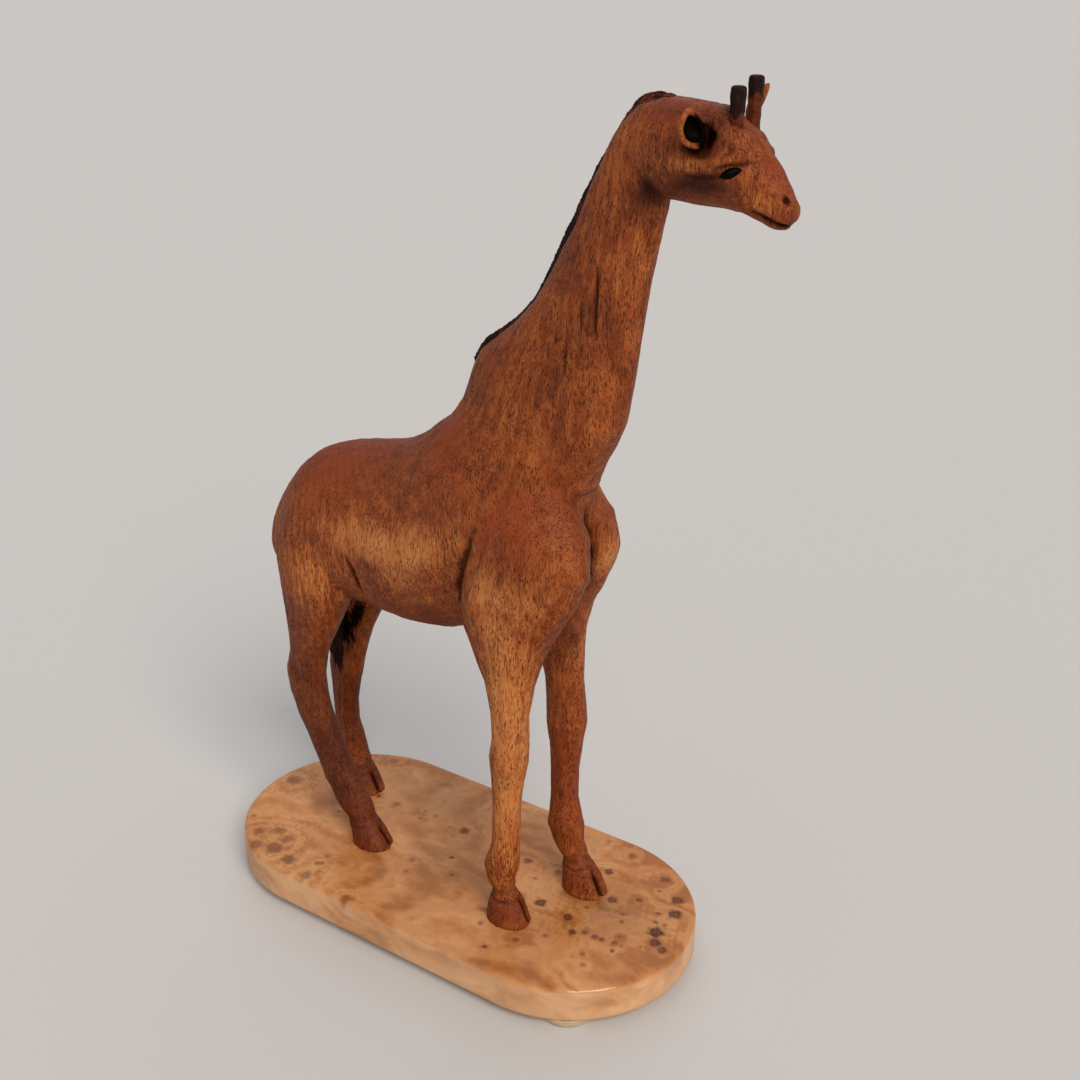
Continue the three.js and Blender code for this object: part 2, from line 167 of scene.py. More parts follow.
class Look:
    """A material in the making, with the coordinates that its patterns follow."""

    def __init__(self, name: str) -> None:
        """Starts an empty node material.

        Args:
            name: The material's name.
        """
        self.material = bpy.data.materials.new(name)
        self.material.use_nodes = True
        self.tree = self.material.node_tree
        self.tree.nodes.clear()
        self.where = self.node("TexCoord").outputs["Object"]

    def node(self, kind: str, inputs: dict | None = None, **settings) -> bpy.types.Node:
        """Adds a shader node to the material, the way add_node does."""
        return add_node(self.tree, "ShaderNode" + kind, inputs, **settings)

    def vector(self, operation: str, *values: Socket | Triple, output: int | str = 0) -> Socket:
        """The result of a vector math node on values or sockets, in order."""
        return self.node("VectorMath", dict(enumerate(values)), operation=operation).outputs[output]

    def calc(self, operation: str, *values: float | Socket) -> Socket:
        """The result of a math node on values or sockets, in order."""
        return self.node("Math", dict(enumerate(values)), operation=operation).outputs[0]

    def times(self, value: Socket, factor: float | Socket, plus: float | Socket = 0.0) -> Socket:
        """A value times a factor, with another value added."""
        return self.calc("MULTIPLY_ADD", value, factor, plus)

    def total(self, *shares: tuple[Socket, float], start: float = 0.0) -> Socket:
        """The sum of values, each times its share."""
        result = start
        for value, share in shares:
            result = self.times(value, share, result)
        return result

    def noise(self, size: Triple, detail: float = 2.0, rough: float = 0.5, where: Socket | None = None) -> Socket:
        """Noise whose grains have a real size along X, Y and Z.

        Args:
            size: The grain's size along each axis, in millimetres.
            detail: How many finer layers it has.
            rough: How strong the finer layers are.
            where: The coordinates in metres, or the object's own when left out.

        Returns:
            The noise's value, round 0.5.
        """
        place = self.where if where is None else where
        stretched = self.vector("MULTIPLY", place, [1 / (s * MM) for s in size])
        given = {"Vector": stretched, "Scale": 1.0, "Detail": detail, "Roughness": rough}
        return self.node("TexNoise", given).outputs["Fac"]

    def ranged(self, value: Socket, low: float, high: float, to_low: float = 0.0, to_high: float = 1.0) -> Socket:
        """A value spread smoothly from one range to another.

        Args:
            value: The value to spread.
            low: The value that gives to_low.
            high: The value that gives to_high.
            to_low: The result at low.
            to_high: The result at high.

        Returns:
            The result's socket.
        """
        given = {"Value": value, "From Min": low, "From Max": high, "To Min": to_low, "To Max": to_high}
        return self.node("MapRange", given, interpolation_type="SMOOTHSTEP").outputs["Result"]

    def mix(self, amount: Socket, below: Socket | str, above: str | Socket) -> Socket:
        """One colour laid over another, each a socket or a hex colour."""
        return self.node("Mix", {0: amount, 6: below, 7: above}, data_type="RGBA").outputs[2]

    def ramp(self, value: Socket, stops: Sequence[tuple[float, str]]) -> Socket:
        """A colour ramp.

        Args:
            value: The value that runs along the ramp.
            stops: Each stop's place and hex colour, in order.

        Returns:
            The colour's socket.
        """
        node = self.node("ValToRGB", {"Fac": value})
        elements = node.color_ramp.elements
        for element, (place, colour) in zip(elements, (stops[0], stops[-1])):
            element.position, element.color = place, linear(colour)
        for place, colour in stops[1:-1]:
            elements.new(place).color = linear(colour)
        return node.outputs["Color"]

    def mark(self, mark: Mark) -> Socket:
        """A per-vertex mark as a value."""
        return self.node("Attribute", attribute_name=mark.value).outputs["Fac"]

    def bump(self, height: Socket, depth: float) -> Socket:
        """A normal roughened by a height from 0 to 1 that stands for a depth in millimetres."""
        return self.node("Bump", {"Height": height, "Distance": depth * MM, "Strength": 1.0}).outputs["Normal"]

    def close(self, inputs: dict) -> Material:
        """Ends the tree in one principled shader and gives the finished material."""
        shader = self.node("BsdfPrincipled", inputs)
        self.node("OutputMaterial", {"Surface": shader.outputs["BSDF"]})
        return self.material


# ---------------------------------------------------------------- finishes


@dataclass(frozen=True)
class OiledHardwood:
    """Red-brown diffuse-porous hardwood, knife carved, sanded by hand, stained and oiled.

    The pores run up the blank, so they are short upright dashes on the sides and dots on the back and
    nape. End grain drinks the stain and goes darker and redder. The flanks and legs are sanded paler.
    """

    deep: str = "#5f2a10"
    body: str = "#843d17"
    light: str = "#ad602c"
    pale: str = "#cc864a"
    red: str = "#8c3a19"
    end_grain: str = "#7a3519"
    # The colour of deep stain, and of the painted shade that the same mark carries.
    stained: str = "#451607"
    # The pore colour is also the colour of the painted shade in creases and cuts.
    pore_and_shade: str = "#260c04"
    # The colour of char and of painted shadow.
    soot: str = "#0a0302"
    pore_size: Triple = (0.36, 0.36, 2.1)
    fleck_size: Triple = (0.72, 0.72, 5.04)
    ring: float = 2.6
    pith: Triple = (-0.004, 0.030, 0.0)
    drift: Triple = (0.008, 0.008, 0.004)

    def material(self) -> Material:
        """Builds the wood's material, which reads the marks carved into the figure."""
        look = Look("oiled_hardwood")
        drift = look.node("TexNoise", {"Vector": look.where, "Scale": 28.0, "Detail": 2.0}).outputs["Color"]
        pull = look.vector("MULTIPLY", look.vector("SUBTRACT", drift, (0.5, 0.5, 0.5)), self.drift)
        grain = look.vector("ADD", look.where, pull)
        streaks = look.noise((1.1, 1.1, 15), 4.0, 0.62, grain)
        brushed = look.noise((0.6, 0.6, 6), 3.0, 0.6, grain)
        clouds = look.noise((15, 15, 20), 5.0, 0.65)
        fuzz = look.noise((0.32, 0.32, 0.6), 2.0, 0.6)
        dashes = look.noise(self.pore_size, 1.5, 0.6, grain)
        flecks = look.noise(self.fleck_size, 2.0, 0.6, grain)
        gather = look.noise((9, 9, 16))
        blotches = look.noise((3.4, 3.4, 5.0), 3.0, 0.6)
        pith = look.vector("MULTIPLY", look.vector("SUBTRACT", grain, self.pith), (1.0, 1.0, 0.03))
        turns = look.times(look.vector("LENGTH", pith, output="Value"), 2 * math.pi / (self.ring * MM))
        rings = look.times(look.calc("SINE", turns), 0.5, 0.5)

        # Stains feather along the grain, so their edges are drawn out by the upright streaks.
        feather = look.total((streaks, 0.7), (brushed, 0.7), start=-0.7)
        # The pale mark is sanded wood, and painted highlight on the right cheek and a temple facet.
        sanded = look.ranged(look.calc("ADD", look.mark(Mark.PALE), feather), 0.12, 0.85)
        blushed = look.ranged(look.calc("ADD", look.mark(Mark.RED), feather), 0.12, 0.8)
        shares = (clouds, 0.34), (streaks, 0.22), (brushed, 0.2), (rings, 0.05), (fuzz, 0.28), (blotches, 0.24)
        tone = look.total(*shares, (sanded, 0.26), start=-0.12)
        wood = look.ramp(tone, [(0.38, self.deep), (0.52, self.body), (0.67, self.light), (0.92, self.pale)])
        ends = look.times(look.mark(Mark.END_GRAIN), look.ranged(clouds, 0.3, 0.6, 0.75, 1.0))
        wood = look.mix(look.times(ends, 0.6), wood, self.end_grain)
        blush = look.times(blushed, look.ranged(clouds, 0.32, 0.66, 0.45, 1.0))
        wood = look.mix(look.times(blush, 0.7), wood, self.red)
        # Deep stain, and painted shade where the mark stands for shade.
        soaked_and_shaded = look.times(look.mark(Mark.STAINED), look.ranged(clouds, 0.3, 0.7, 1.0, 0.7))
        wood = look.mix(soaked_and_shaded, wood, self.stained)

        # Open pores, paler nicks where the knife left the blushed wood rough, then painted shade in creases and cuts,
        # and char.
        pores = look.ranged(look.times(gather, 0.16, dashes), 0.63, 0.75)
        long_pores = look.ranged(look.times(gather, 0.35, flecks), 0.78, 0.9)
        dark = look.calc("MAXIMUM", look.times(pores, 0.72), look.times(long_pores, 0.68))
        nicks = look.times(look.ranged(flecks, 0.36, 0.24, 0.0, 0.5), blushed)
        wood = look.mix(dark, look.mix(nicks, wood, self.light), self.pore_and_shade)
        # Painted shade: creases and cuts are darkened toward the pore colour.
        crease_shade = look.times(look.mark(Mark.HOLLOW), look.ranged(fuzz, 0.2, 0.6, 0.7, 1.0))
        wood = look.mix(look.calc("MINIMUM", crease_shade, 0.92), wood, self.pore_and_shade)
        # This mark is char, and painted shadow under the right ear and along the chest's cleft, so burnt below is char
        # and painted shadow together.
        soot = look.mark(Mark.SOOT)
        ragged = look.calc("ADD", soot, look.times(flecks, 0.9, -0.45))
        burnt = look.times(look.ranged(ragged, 0.3, 0.75), look.ranged(soot, 0.02, 0.3))
        height = look.total((fuzz, 0.4), (brushed, 0.6), (dark, -0.8))
        return look.close({
            "Base Color": look.mix(burnt, wood, self.soot),
            "Roughness": look.times(dark, 0.2, look.ranged(clouds, 0.3, 0.7, 0.5, 0.62)),
            "Normal": look.bump(height, 0.2),
            "IOR": 1.5,
            "Specular IOR Level": look.ranged(look.calc("MAXIMUM", burnt, crease_shade), 0.1, 0.9, 0.2, 0.03),
        })


@dataclass(frozen=True)
class BurntHardwood:
    """The same hardwood seared with a hot tool until it is nearly black.

    Char is rough and dull, and the stained wood shows through where the tool only brushed it.
    """

    name: str
    char: str = "#0e0403"
    scorched: str = "#3c150a"
    wood: str = "#763519"
    bare: float = 0.38

    def material(self) -> Material:
        """Builds the scorched wood's material. Its soot mark says where the char is thickest."""
        look = Look(self.name)
        patches = look.noise((2.2, 2.2, 3.0), 4.0, 0.65)
        grit = look.noise((0.35, 0.35, 0.5), 3.0, 0.65)
        seared = look.calc("ADD", look.mark(Mark.SOOT), look.times(patches, 0.8, -0.4))
        tan = look.mix(look.ranged(grit, 0.3, 0.7), self.scorched, self.wood)
        dark = look.mix(look.ranged(grit, 0.35, 0.8), self.char, self.scorched)
        return look.close({
            "Base Color": look.mix(look.ranged(seared, self.bare, self.bare + 0.35), tan, dark),
            "Roughness": look.ranged(grit, 0.3, 0.7, 0.4, 0.7),
            "Normal": look.bump(grit, 0.22),
            "IOR": 1.5,
            "Specular IOR Level": 0.14,
        })


@dataclass(frozen=True)
class PolishedEbony:
    """Ebony inlay, filed flush and rubbed: black with a brown fleck and a dim, soft highlight."""

    black: str = "#050303"
    fleck: str = "#140b08"

    def material(self) -> Material:
        """Builds the ebony's material."""
        look = Look("polished_ebony")
        grain = look.noise((0.25, 0.25, 1.6), 3.0)
        return look.close({
            "Base Color": look.mix(look.ranged(grain, 0.4, 0.75), self.black, self.fleck),
            "Roughness": look.ranged(grain, 0.3, 0.7, 0.4, 0.52),
            "Normal": look.bump(grain, 0.02),
            "IOR": 1.55,
            "Specular IOR Level": 0.03,
        })


@dataclass(frozen=True)
class VarnishedBurl:
    """Maple burl under a thick gloss varnish.

    The cream and tan figure swirls round the buds' dark eyes, with greyer clouds where the varnish
    has sunk in. The varnish gathers on the eased edge, where highlights are sharp.
    """

    cream: str = "#d59c66"
    tan: str = "#bf7f4a"
    honey: str = "#a36637"
    line: str = "#8a4f28"
    grey: str = "#775739"
    halo: str = "#763a18"
    eye: str = "#35190a"
    # The colour that the upright sides are painted toward, as painted light.
    side: str = "#e2bd98"

    def material(self) -> Material:
        """Builds the burl's material, which reads the eyes and swirls worked out on the slab."""
        look = Look("varnished_burl")
        clouds = look.noise((34, 24, 12), 4.0)
        mottle = look.noise((8, 6, 4), 5.0, 0.6)
        fine = look.noise((0.8, 0.6, 0.8), 3.0, 0.6)
        ripple = look.noise((7, 5, 7), 1.0)
        swirl = look.times(clouds, 14.0, look.mark(Mark.SWIRL))
        wave = look.times(look.calc("SINE", swirl), 0.5, 0.5)
        tone = look.total((mottle, 0.4), (clouds, 0.45), (wave, 0.14), (fine, 0.14))
        colour = look.ramp(tone, [(0.44, self.honey), (0.55, self.tan), (0.7, self.cream)])
        lines = look.times(look.calc("POWER", wave, 9.0), look.ranged(mottle, 0.4, 0.65, 0.05, 0.5))
        colour = look.mix(lines, colour, self.line)
        colour = look.mix(look.times(look.ranged(fine, 0.5, 0.8), 0.25), colour, self.line)
        colour = look.mix(look.times(look.mark(Mark.GREY), 0.6), colour, self.grey)
        # The upright sides are painted paler, as painted light.
        lit_side = look.times(look.mark(Mark.SIDE), look.ranged(clouds, 0.35, 0.6, 0.25, 0.5))
        colour = look.mix(lit_side, colour, self.side)
        halo = look.times(look.mark(Mark.HALO), look.ranged(mottle, 0.25, 0.6, 0.5, 1.0))
        colour = look.mix(halo, colour, self.halo)
        gathered = look.times(look.mark(Mark.EDGE), look.ranged(fine, 0.35, 0.6, 0.3, 1.0))
        return look.close({
            "Base Color": look.mix(look.mark(Mark.EYE), colour, self.eye),
            "Roughness": look.ranged(fine, 0.3, 0.7, 0.3, 0.38),
            "Normal": look.bump(look.times(fine, 0.08, ripple), 0.5),
            "IOR": 1.5,
            "Specular IOR Level": 0.06,
            "Coat Weight": look.ranged(gathered, 0.0, 1.0, 0.14, 1.0),
            "Coat Roughness": 0.07,
            "Coat IOR": 1.5,
        })


@dataclass(frozen=True)
class ZincPlatedSteel:
    """Cold-headed screw steel with bright zinc plating: blue-grey, with turning marks and dull pits."""

    bright: str = "#b9bcc0"
    dull: str = "#85888c"

    def material(self) -> Material:
        """Builds the plating's material."""
        look = Look("zinc_plated_steel")
        bloom = look.noise((1.6, 1.6, 1.6), 4.0)
        return look.close({
            "Base Color": look.mix(look.ranged(bloom, 0.35, 0.7), self.bright, self.dull),
            "Metallic": 1.0,
            "Roughness": look.ranged(bloom, 0.3, 0.7, 0.28, 0.45),
            "Normal": look.bump(look.noise((3, 3, 0.15)), 0.03),
        })


@dataclass(frozen=True)
class PaleBumperRubber:
    """Moulded cream polyurethane bumper: satin, faintly cloudy, with lint on its sides."""

    cream: str = "#c6b294"
    dusty: str = "#a59172"

    def material(self) -> Material:
        """Builds the bumper's material."""
        look = Look("pale_bumper_rubber")
        lint = look.noise((0.4, 0.4, 0.3))
        return look.close({
            "Base Color": look.mix(look.ranged(look.noise((5, 5, 2), 4.0), 0.35, 0.75), self.cream, self.dusty),
            "Roughness": look.ranged(lint, 0.3, 0.7, 0.4, 0.55),
            "Normal": look.bump(lint, 0.04),
            "IOR": 1.5,
            "Subsurface Weight": 0.15,
            "Subsurface Scale": 0.002,
        })


@dataclass(frozen=True)
class MattePaper:
    """Seamless studio paper under the statue: plain, pale and matt."""

    pale: str = "#cfcecd"
    shade: str = "#c9c8c7"

    def material(self) -> Material:
        """Builds the paper's material."""
        look = Look("matte_paper")
        colour = look.mix(look.noise((1.2, 1.2, 1.2)), self.pale, self.shade)
        return look.close({"Base Color": colour, "Roughness": 0.85, "Specular IOR Level": 0.25})


# ---------------------------------------------------------------- meshes


@dataclass(frozen=True)
class Stance:
    """How the figure's own millimetres sit in the model's frame.

    Attributes:
        turn: The angle in degrees that the figure stands askew on its base.
        glue: The glue line under the hooves, in millimetres.
    """

    turn: float = -3.4
    glue: float = 0.1

    def to_row(self) -> Matrix:
        """The matrix from the figure's millimetres to metres in the model's frame."""
        low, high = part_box("burl_base")
        place = Vector(((low.x + high.x) / 2, 0.0, high.z + self.glue * MM))
        return Matrix.Translation(place) @ Matrix.Rotation(math.radians(self.turn), 4, "Z") @ Matrix.Scale(MM, 4)

    def to_figure(self) -> Matrix:
        """The matrix back to the figure's millimetres."""
        return self.to_row().inverted()


def placed(name: str, data: bpy.types.ID) -> Piece:
    """Puts an object with the given data into the scene."""
    made = bpy.data.objects.new(name, data)
    bpy.context.scene.collection.objects.link(made)
    return made


def mesh_from(name: str, points: Sequence, faces: Sequence) -> Piece:
    """Makes an object from points and faces.

    Args:
        name: The object's name.
        points: The vertices.
        faces: Vertex numbers of each face.

    Returns:
        The object, linked to the scene.
    """
    mesh = bpy.data.meshes.new(name)
    mesh.from_pydata([tuple(float(c) for c in p) for p in points], [], [tuple(int(i) for i in f) for f in faces])
    mesh.validate()
    return placed(name, mesh)


def spun(profile: Path, columns: int) -> list[Triple]:
    """Rows of points turned about an axis.

    Args:
        profile: Radius and place along the axis of each row.
        columns: How many points each row has.

    Returns:
        The points: two coordinates across the axis, then the one along it.
    """
    turns = [2 * math.pi * k / columns for k in range(columns)]
    return [(r * math.cos(a), r * math.sin(a), along) for r, along in profile for a in turns]


def tube(name: str, points: Sequence, columns: int) -> Piece:
    """A closed tube with flat ends.

    Args:
        name: The object's name.
        points: Its rows of points, one after the other.
        columns: How many points each row has.

    Returns:
        The tube.
    """
    last = len(points) - columns
    faces = [
        (i + k, i + (k + 1) % columns, i + columns + (k + 1) % columns, i + columns + k)
        for i in range(0, last, columns)
        for k in range(columns)
    ]
    return mesh_from(name, points, [*faces, range(columns - 1, -1, -1), range(last, last + columns)])


def opened(*meshes: Mesh) -> bmesh.types.BMesh:
    """Meshes, opened together for editing."""
    shape = bmesh.new()
    for mesh in meshes:
        shape.from_mesh(mesh)
    return shape


def closed(shape: bmesh.types.BMesh, mesh: Mesh) -> Mesh:
    """The mesh, with an edited shape written to it."""
    shape.to_mesh(mesh)
    shape.free()
    return mesh


def outward(mesh: Mesh) -> None:
    """Turns a closed mesh's faces outward."""
    shape = opened(mesh)
    bmesh.ops.remove_doubles(shape, verts=shape.verts, dist=1e-7)
    bmesh.ops.recalc_face_normals(shape, faces=shape.faces)
    if shape.calc_volume() < 0:
        bmesh.ops.reverse_faces(shape, faces=shape.faces)
    closed(shape, mesh)


def lathe(name: str, profile: Path, columns: int) -> Piece:
    """A solid turned about +Z, from its rows' radius and height, without the poles."""
    made = tube(name, spun(profile, columns), columns)
    outward(made.data)
    return made


def frame_nodes() -> dict[str, Piece]:
    """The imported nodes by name."""
    return {o["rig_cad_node"]: o for o in bpy.data.objects if "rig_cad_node" in o}


def merged_copy(node: str, name: str) -> Piece:
    """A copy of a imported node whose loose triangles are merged.

    Args:
        node: The node's name.
        name: The copy's name.

    Returns:
        The copy, with the node itself left as it is.
    """
    shape = opened(frame_nodes()[node].data)
    bmesh.ops.remove_doubles(shape, verts=shape.verts, dist=1e-6)
    return placed(name, closed(shape, bpy.data.meshes.new(name)))


def joined(name: str, pieces: Sequence[Piece]) -> Piece:
    """Makes one object out of several and removes them.

    Args:
        name: The new object's name.
        pieces: The objects, each with its place in its mesh.

    Returns:
        The new object.
    """
    shape = opened(*(piece.data for piece in pieces))
    for piece in pieces:
        bpy.data.objects.remove(piece)
    return placed(name, closed(shape, bpy.data.meshes.new(name)))


def evaluated(name: str, source: Piece) -> Piece:
    """Turns an object with modifiers into a plain mesh and removes the original.

    Args:
        name: The plain object's name.
        source: The object with its modifiers.

    Returns:
        The plain object.
    """
    bpy.context.view_layer.update()
    graph = bpy.context.evaluated_depsgraph_get()
    mesh = bpy.data.meshes.new_from_object(source.evaluated_get(graph), depsgraph=graph)
    bpy.data.objects.remove(source)
    mesh.name = name
    return placed(name, mesh)


def remeshed(source: Piece, voxel: float) -> Piece:
    """Covers a shape in an even skin.

    Args:
        source: The shape, which is removed.
        voxel: The skin's cell, in the shape's own units.

    Returns:
        The skin as a plain mesh.
    """
    skin = source.modifiers.new("skin", "REMESH")
    skin.mode, skin.voxel_size = "VOXEL", voxel
    return evaluated(source.name, source)


def thinned(source: Piece, triangles: int, spared: np.ndarray) -> Piece:
    """Collapses a mesh's flattest edges until it has a number of triangles.

    Args:
        source: The mesh, which is removed.
        triangles: The most triangles to leave.
        spared: True for each vertex that is left alone.

    Returns:
        The thinned mesh.
    """
    source.data.calc_loop_triangles()
    count = len(source.data.loop_triangles)
    if count <= triangles:
        return source
    group = source.vertex_groups.new(name="plain")
    group.add(np.flatnonzero(~spared).tolist(), 1.0, "REPLACE")
    collapse = source.modifiers.new("thin", "DECIMATE")
    collapse.ratio, collapse.vertex_group = triangles / count, group.name
    return evaluated(source.name, source)


def points_of(mesh: Mesh) -> Points:
    """A mesh's vertices as an array of rows."""
    flat = np.empty(len(mesh.vertices) * 3)
    mesh.vertices.foreach_get("co", flat)
    return flat.reshape(-1, 3)


def normals_of(mesh: Mesh) -> Points:
    """A mesh's vertex normals as an array of rows."""
    flat = np.empty(len(mesh.vertices) * 3, np.float32)
    mesh.vertex_normals.foreach_get("vector", flat)
    return flat.reshape(-1, 3).astype(float)


def put_points(mesh: Mesh, points: Points) -> None:
    """Moves a mesh's vertices to an array of rows."""
    mesh.vertices.foreach_set("co", points.astype(np.float32).ravel())
    mesh.update()


def put_mark(mesh: Mesh, mark: Mark, values: np.ndarray) -> None:
    """Stores one number per vertex under a mark's name."""
    layer = mesh.attributes.get(mark.value) or mesh.attributes.new(mark.value, "FLOAT", "POINT")
    layer.data.foreach_set("value", values.astype(np.float32))


def smoothstep(low: float, high: float, value: np.ndarray) -> np.ndarray:
    """Zero below low, one above high, and smooth between."""
    t = np.clip((value - low) / (high - low), 0, 1)
    return t * t * (3 - 2 * t)


def path_distance(points: Points, path: Path) -> tuple[np.ndarray, np.ndarray]:
    """How far points are from a path, and how far along it they come.

    Args:
        points: The points, as rows.
        path: The path's corners.

    Returns:
        The distance of each point, and its place along the path from 0 to 1.
    """
    corners = np.asarray(path, float)
    if len(corners) == 1:
        return np.linalg.norm(points - corners[0], axis=1), np.full(len(points), 0.5)
    lengths = np.linalg.norm(np.diff(corners, axis=0), axis=1)
    best = np.full(len(points), np.inf)
    along = np.zeros(len(points))
    for i, length in enumerate(lengths):
        span = corners[i + 1] - corners[i]
        t = np.clip((points - corners[i]) @ span / length**2, 0, 1)
        away = np.linalg.norm(points - corners[i] - t[:, None] * span, axis=1)
        closer = away < best
        best[closer] = away[closer]
        along[closer] = ((lengths[:i].sum() + t * length) / lengths.sum())[closer]
    return best, along


def dressed(piece: Piece, material: Material, slot: Slot, *nodes: str) -> Piece:
    """Gives a finished piece its material, its body and the nodes it stands for.

    Args:
        piece: The finished piece.
        material: Its only material.
        slot: The record's slot for its finish; not used.
        *nodes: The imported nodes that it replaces.

    Returns:
        The piece.
    """
    piece.data.materials.clear()
    piece.data.materials.append(material)
    piece.data.polygons.foreach_set("use_smooth", [True] * len(piece.data.polygons))
    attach(piece, ROOT)
    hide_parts(*nodes)
    piece.data.calc_loop_triangles()
    log.info("%s: %d triangles", piece.name, len(piece.data.loop_triangles))
    return piece


# ---------------------------------------------------------------- carving


@dataclass(frozen=True)
class Stroke:
    """One cut or stain along a path, in the figure's millimetres.

    Attributes:
        path: The points that it runs through. One point makes a dimple or a spot.
        width: How wide it is.
        depth: How deep the surface is pressed in. A negative depth raises it.
        shade: For a cut, how dark the painted shade laid in it is, from 0 to 1; for a stain, how strong it is.
    """

    path: Path
    width: float
    depth: float = 0.0
    shade: float = 0.0

    def mirrored(self) -> Stroke:
        """The same stroke on the animal's other side."""
        return Stroke([(x, -y, z) for x, y, z in self.path], self.width, self.depth, self.shade)

    def falloff(self, points: Points) -> np.ndarray:
        """How strongly the stroke touches each point, from 0 to 1, fading to its ends.

        Args:
            points: The points, as rows.

        Returns:
            The strength at each point.
        """
        corners = np.asarray(self.path, float)
        reach = 3 * self.width
        near = np.all((points > corners.min(0) - reach) & (points < corners.max(0) + reach), axis=1)
        touch = np.zeros(len(points))
        if near.any():
            away, along = path_distance(points[near], self.path)
            ends = np.ones(len(away)) if len(corners) == 1 else np.sin(np.pi * np.clip(along, 0.06, 0.94)) ** 0.5
            touch[near] = np.exp(-((away / self.width) ** 2)) * ends
        return touch


@dataclass
class Skin:
    """A carved surface in the figure's millimetres.

    Attributes:
        mesh: The mesh whose vertices are moved.
    """

    mesh: Mesh

    def relax(self, passes: int, keep: float = 0.53, where: Callable[[Points], np.ndarray] | None = None) -> None:
        """Smooths the surface without shrinking it.

        Args:
            passes: How many times to smooth.
            keep: The strength of each second, outward step. Zero lets the surface shrink.
            where: Gives each point's share of the smoothing, or all of it when left out.
        """
        points = points_of(self.mesh)
        pairs = np.empty(len(self.mesh.edges) * 2, np.int32)
        self.mesh.edges.foreach_get("vertices", pairs)
        first, second = pairs.reshape(-1, 2).T
        share = np.ones(len(points)) if where is None else where(points)
        chosen = (share[first] > 0) | (share[second] > 0)
        used, local = np.unique(np.concatenate([first[chosen], second[chosen]]), return_inverse=True)
        first, second = np.split(local, 2)
        part, share, size = points[used], share[used], len(used)
        count = np.maximum(np.bincount(first, minlength=size) + np.bincount(second, minlength=size), 1)
        for step in range(passes * 2):
            pull = 0.5 if step % 2 == 0 else -keep
            if pull == 0:
                continue
            around = [
                np.bincount(first, part[second, k], size) + np.bincount(second, part[first, k], size) for k in range(3)
            ]
            part += (np.stack(around, axis=1) / count[:, None] - part) * (pull * share)[:, None]
        points[used] = part
        put_points(self.mesh, points)

    def laid(self, strokes: Sequence[Stroke]) -> list[Stroke]:
        """Lays strokes down on the surface, so that each follows its nearest vertices.

        Args:
            strokes: The strokes near the surface.

        Returns:
            The same strokes on the surface.
        """
        points = points_of(self.mesh)
        tree = KDTree(len(points))
        for i, point in enumerate(points):
            tree.insert(point, i)
        tree.balance()
        settled = []
        for stroke in strokes:
            path = np.asarray(stroke.path, float)
            fine = [path[0]]
            for start, end in zip(path[:-1], path[1:]):
                steps = max(1, int(np.linalg.norm(end - start) / 1.5))
                fine += [start + (end - start) * (k + 1) / steps for k in range(steps)]
            settled.append(replace(stroke, path=[tuple(tree.find(point)[0]) for point in fine]))
        return settled

    def shade(self, strokes: Sequence[Stroke]) -> np.ndarray:
        """How dark the painted shade of the strokes leaves each vertex, measured before they are cut."""
        points = points_of(self.mesh)
        dark = np.zeros(len(points))
        for stroke in strokes:
            if stroke.shade:
                dark = np.maximum(dark, np.minimum(1.0, 1.6 * stroke.falloff(points)) * stroke.shade)
        return dark

    def carve(self, strokes: Sequence[Stroke]) -> None:
        """Presses strokes into the surface along its normals."""
        points, normals = points_of(self.mesh), normals_of(self.mesh)
        for stroke in strokes:
            points -= normals * (stroke.falloff(points) * stroke.depth)[:, None]
        put_points(self.mesh, points)

    def ripple(self, size: float, height: float, seed: int) -> None:
        """Leaves the slight unevenness of a knife and hand sanding.

        Args:
            size: How wide one ripple is.
            height: How far the ripples move the surface.
            seed: Fixes where they fall.
        """
        points, normals = points_of(self.mesh), normals_of(self.mesh)
        chance = np.random.default_rng(seed)
        wave = np.zeros(len(points))
        for _ in range(14):
            direction = chance.normal(size=3) * (1.0, 1.0, 0.6)
            direction *= (2 * np.pi / size) * chance.uniform(0.6, 1.5) / np.linalg.norm(direction)
            wave += np.sin(points @ direction + chance.uniform(0, 2 * np.pi))
        put_points(self.mesh, points + normals * (wave * height / 14**0.5)[:, None])

    def hollows(self, passes: int) -> np.ndarray:
        """How far each vertex lies below the surface round it.

        Args:
            passes: How wide the surroundings are, as smoothing passes.

        Returns:
            The depth at each vertex, positive in a crease.
        """
        before, normals = points_of(self.mesh), normals_of(self.mesh)
        self.relax(passes, keep=0.0)
        after = points_of(self.mesh)
        put_points(self.mesh, before)
        return np.einsum("ij,ij->i", after - before, normals)


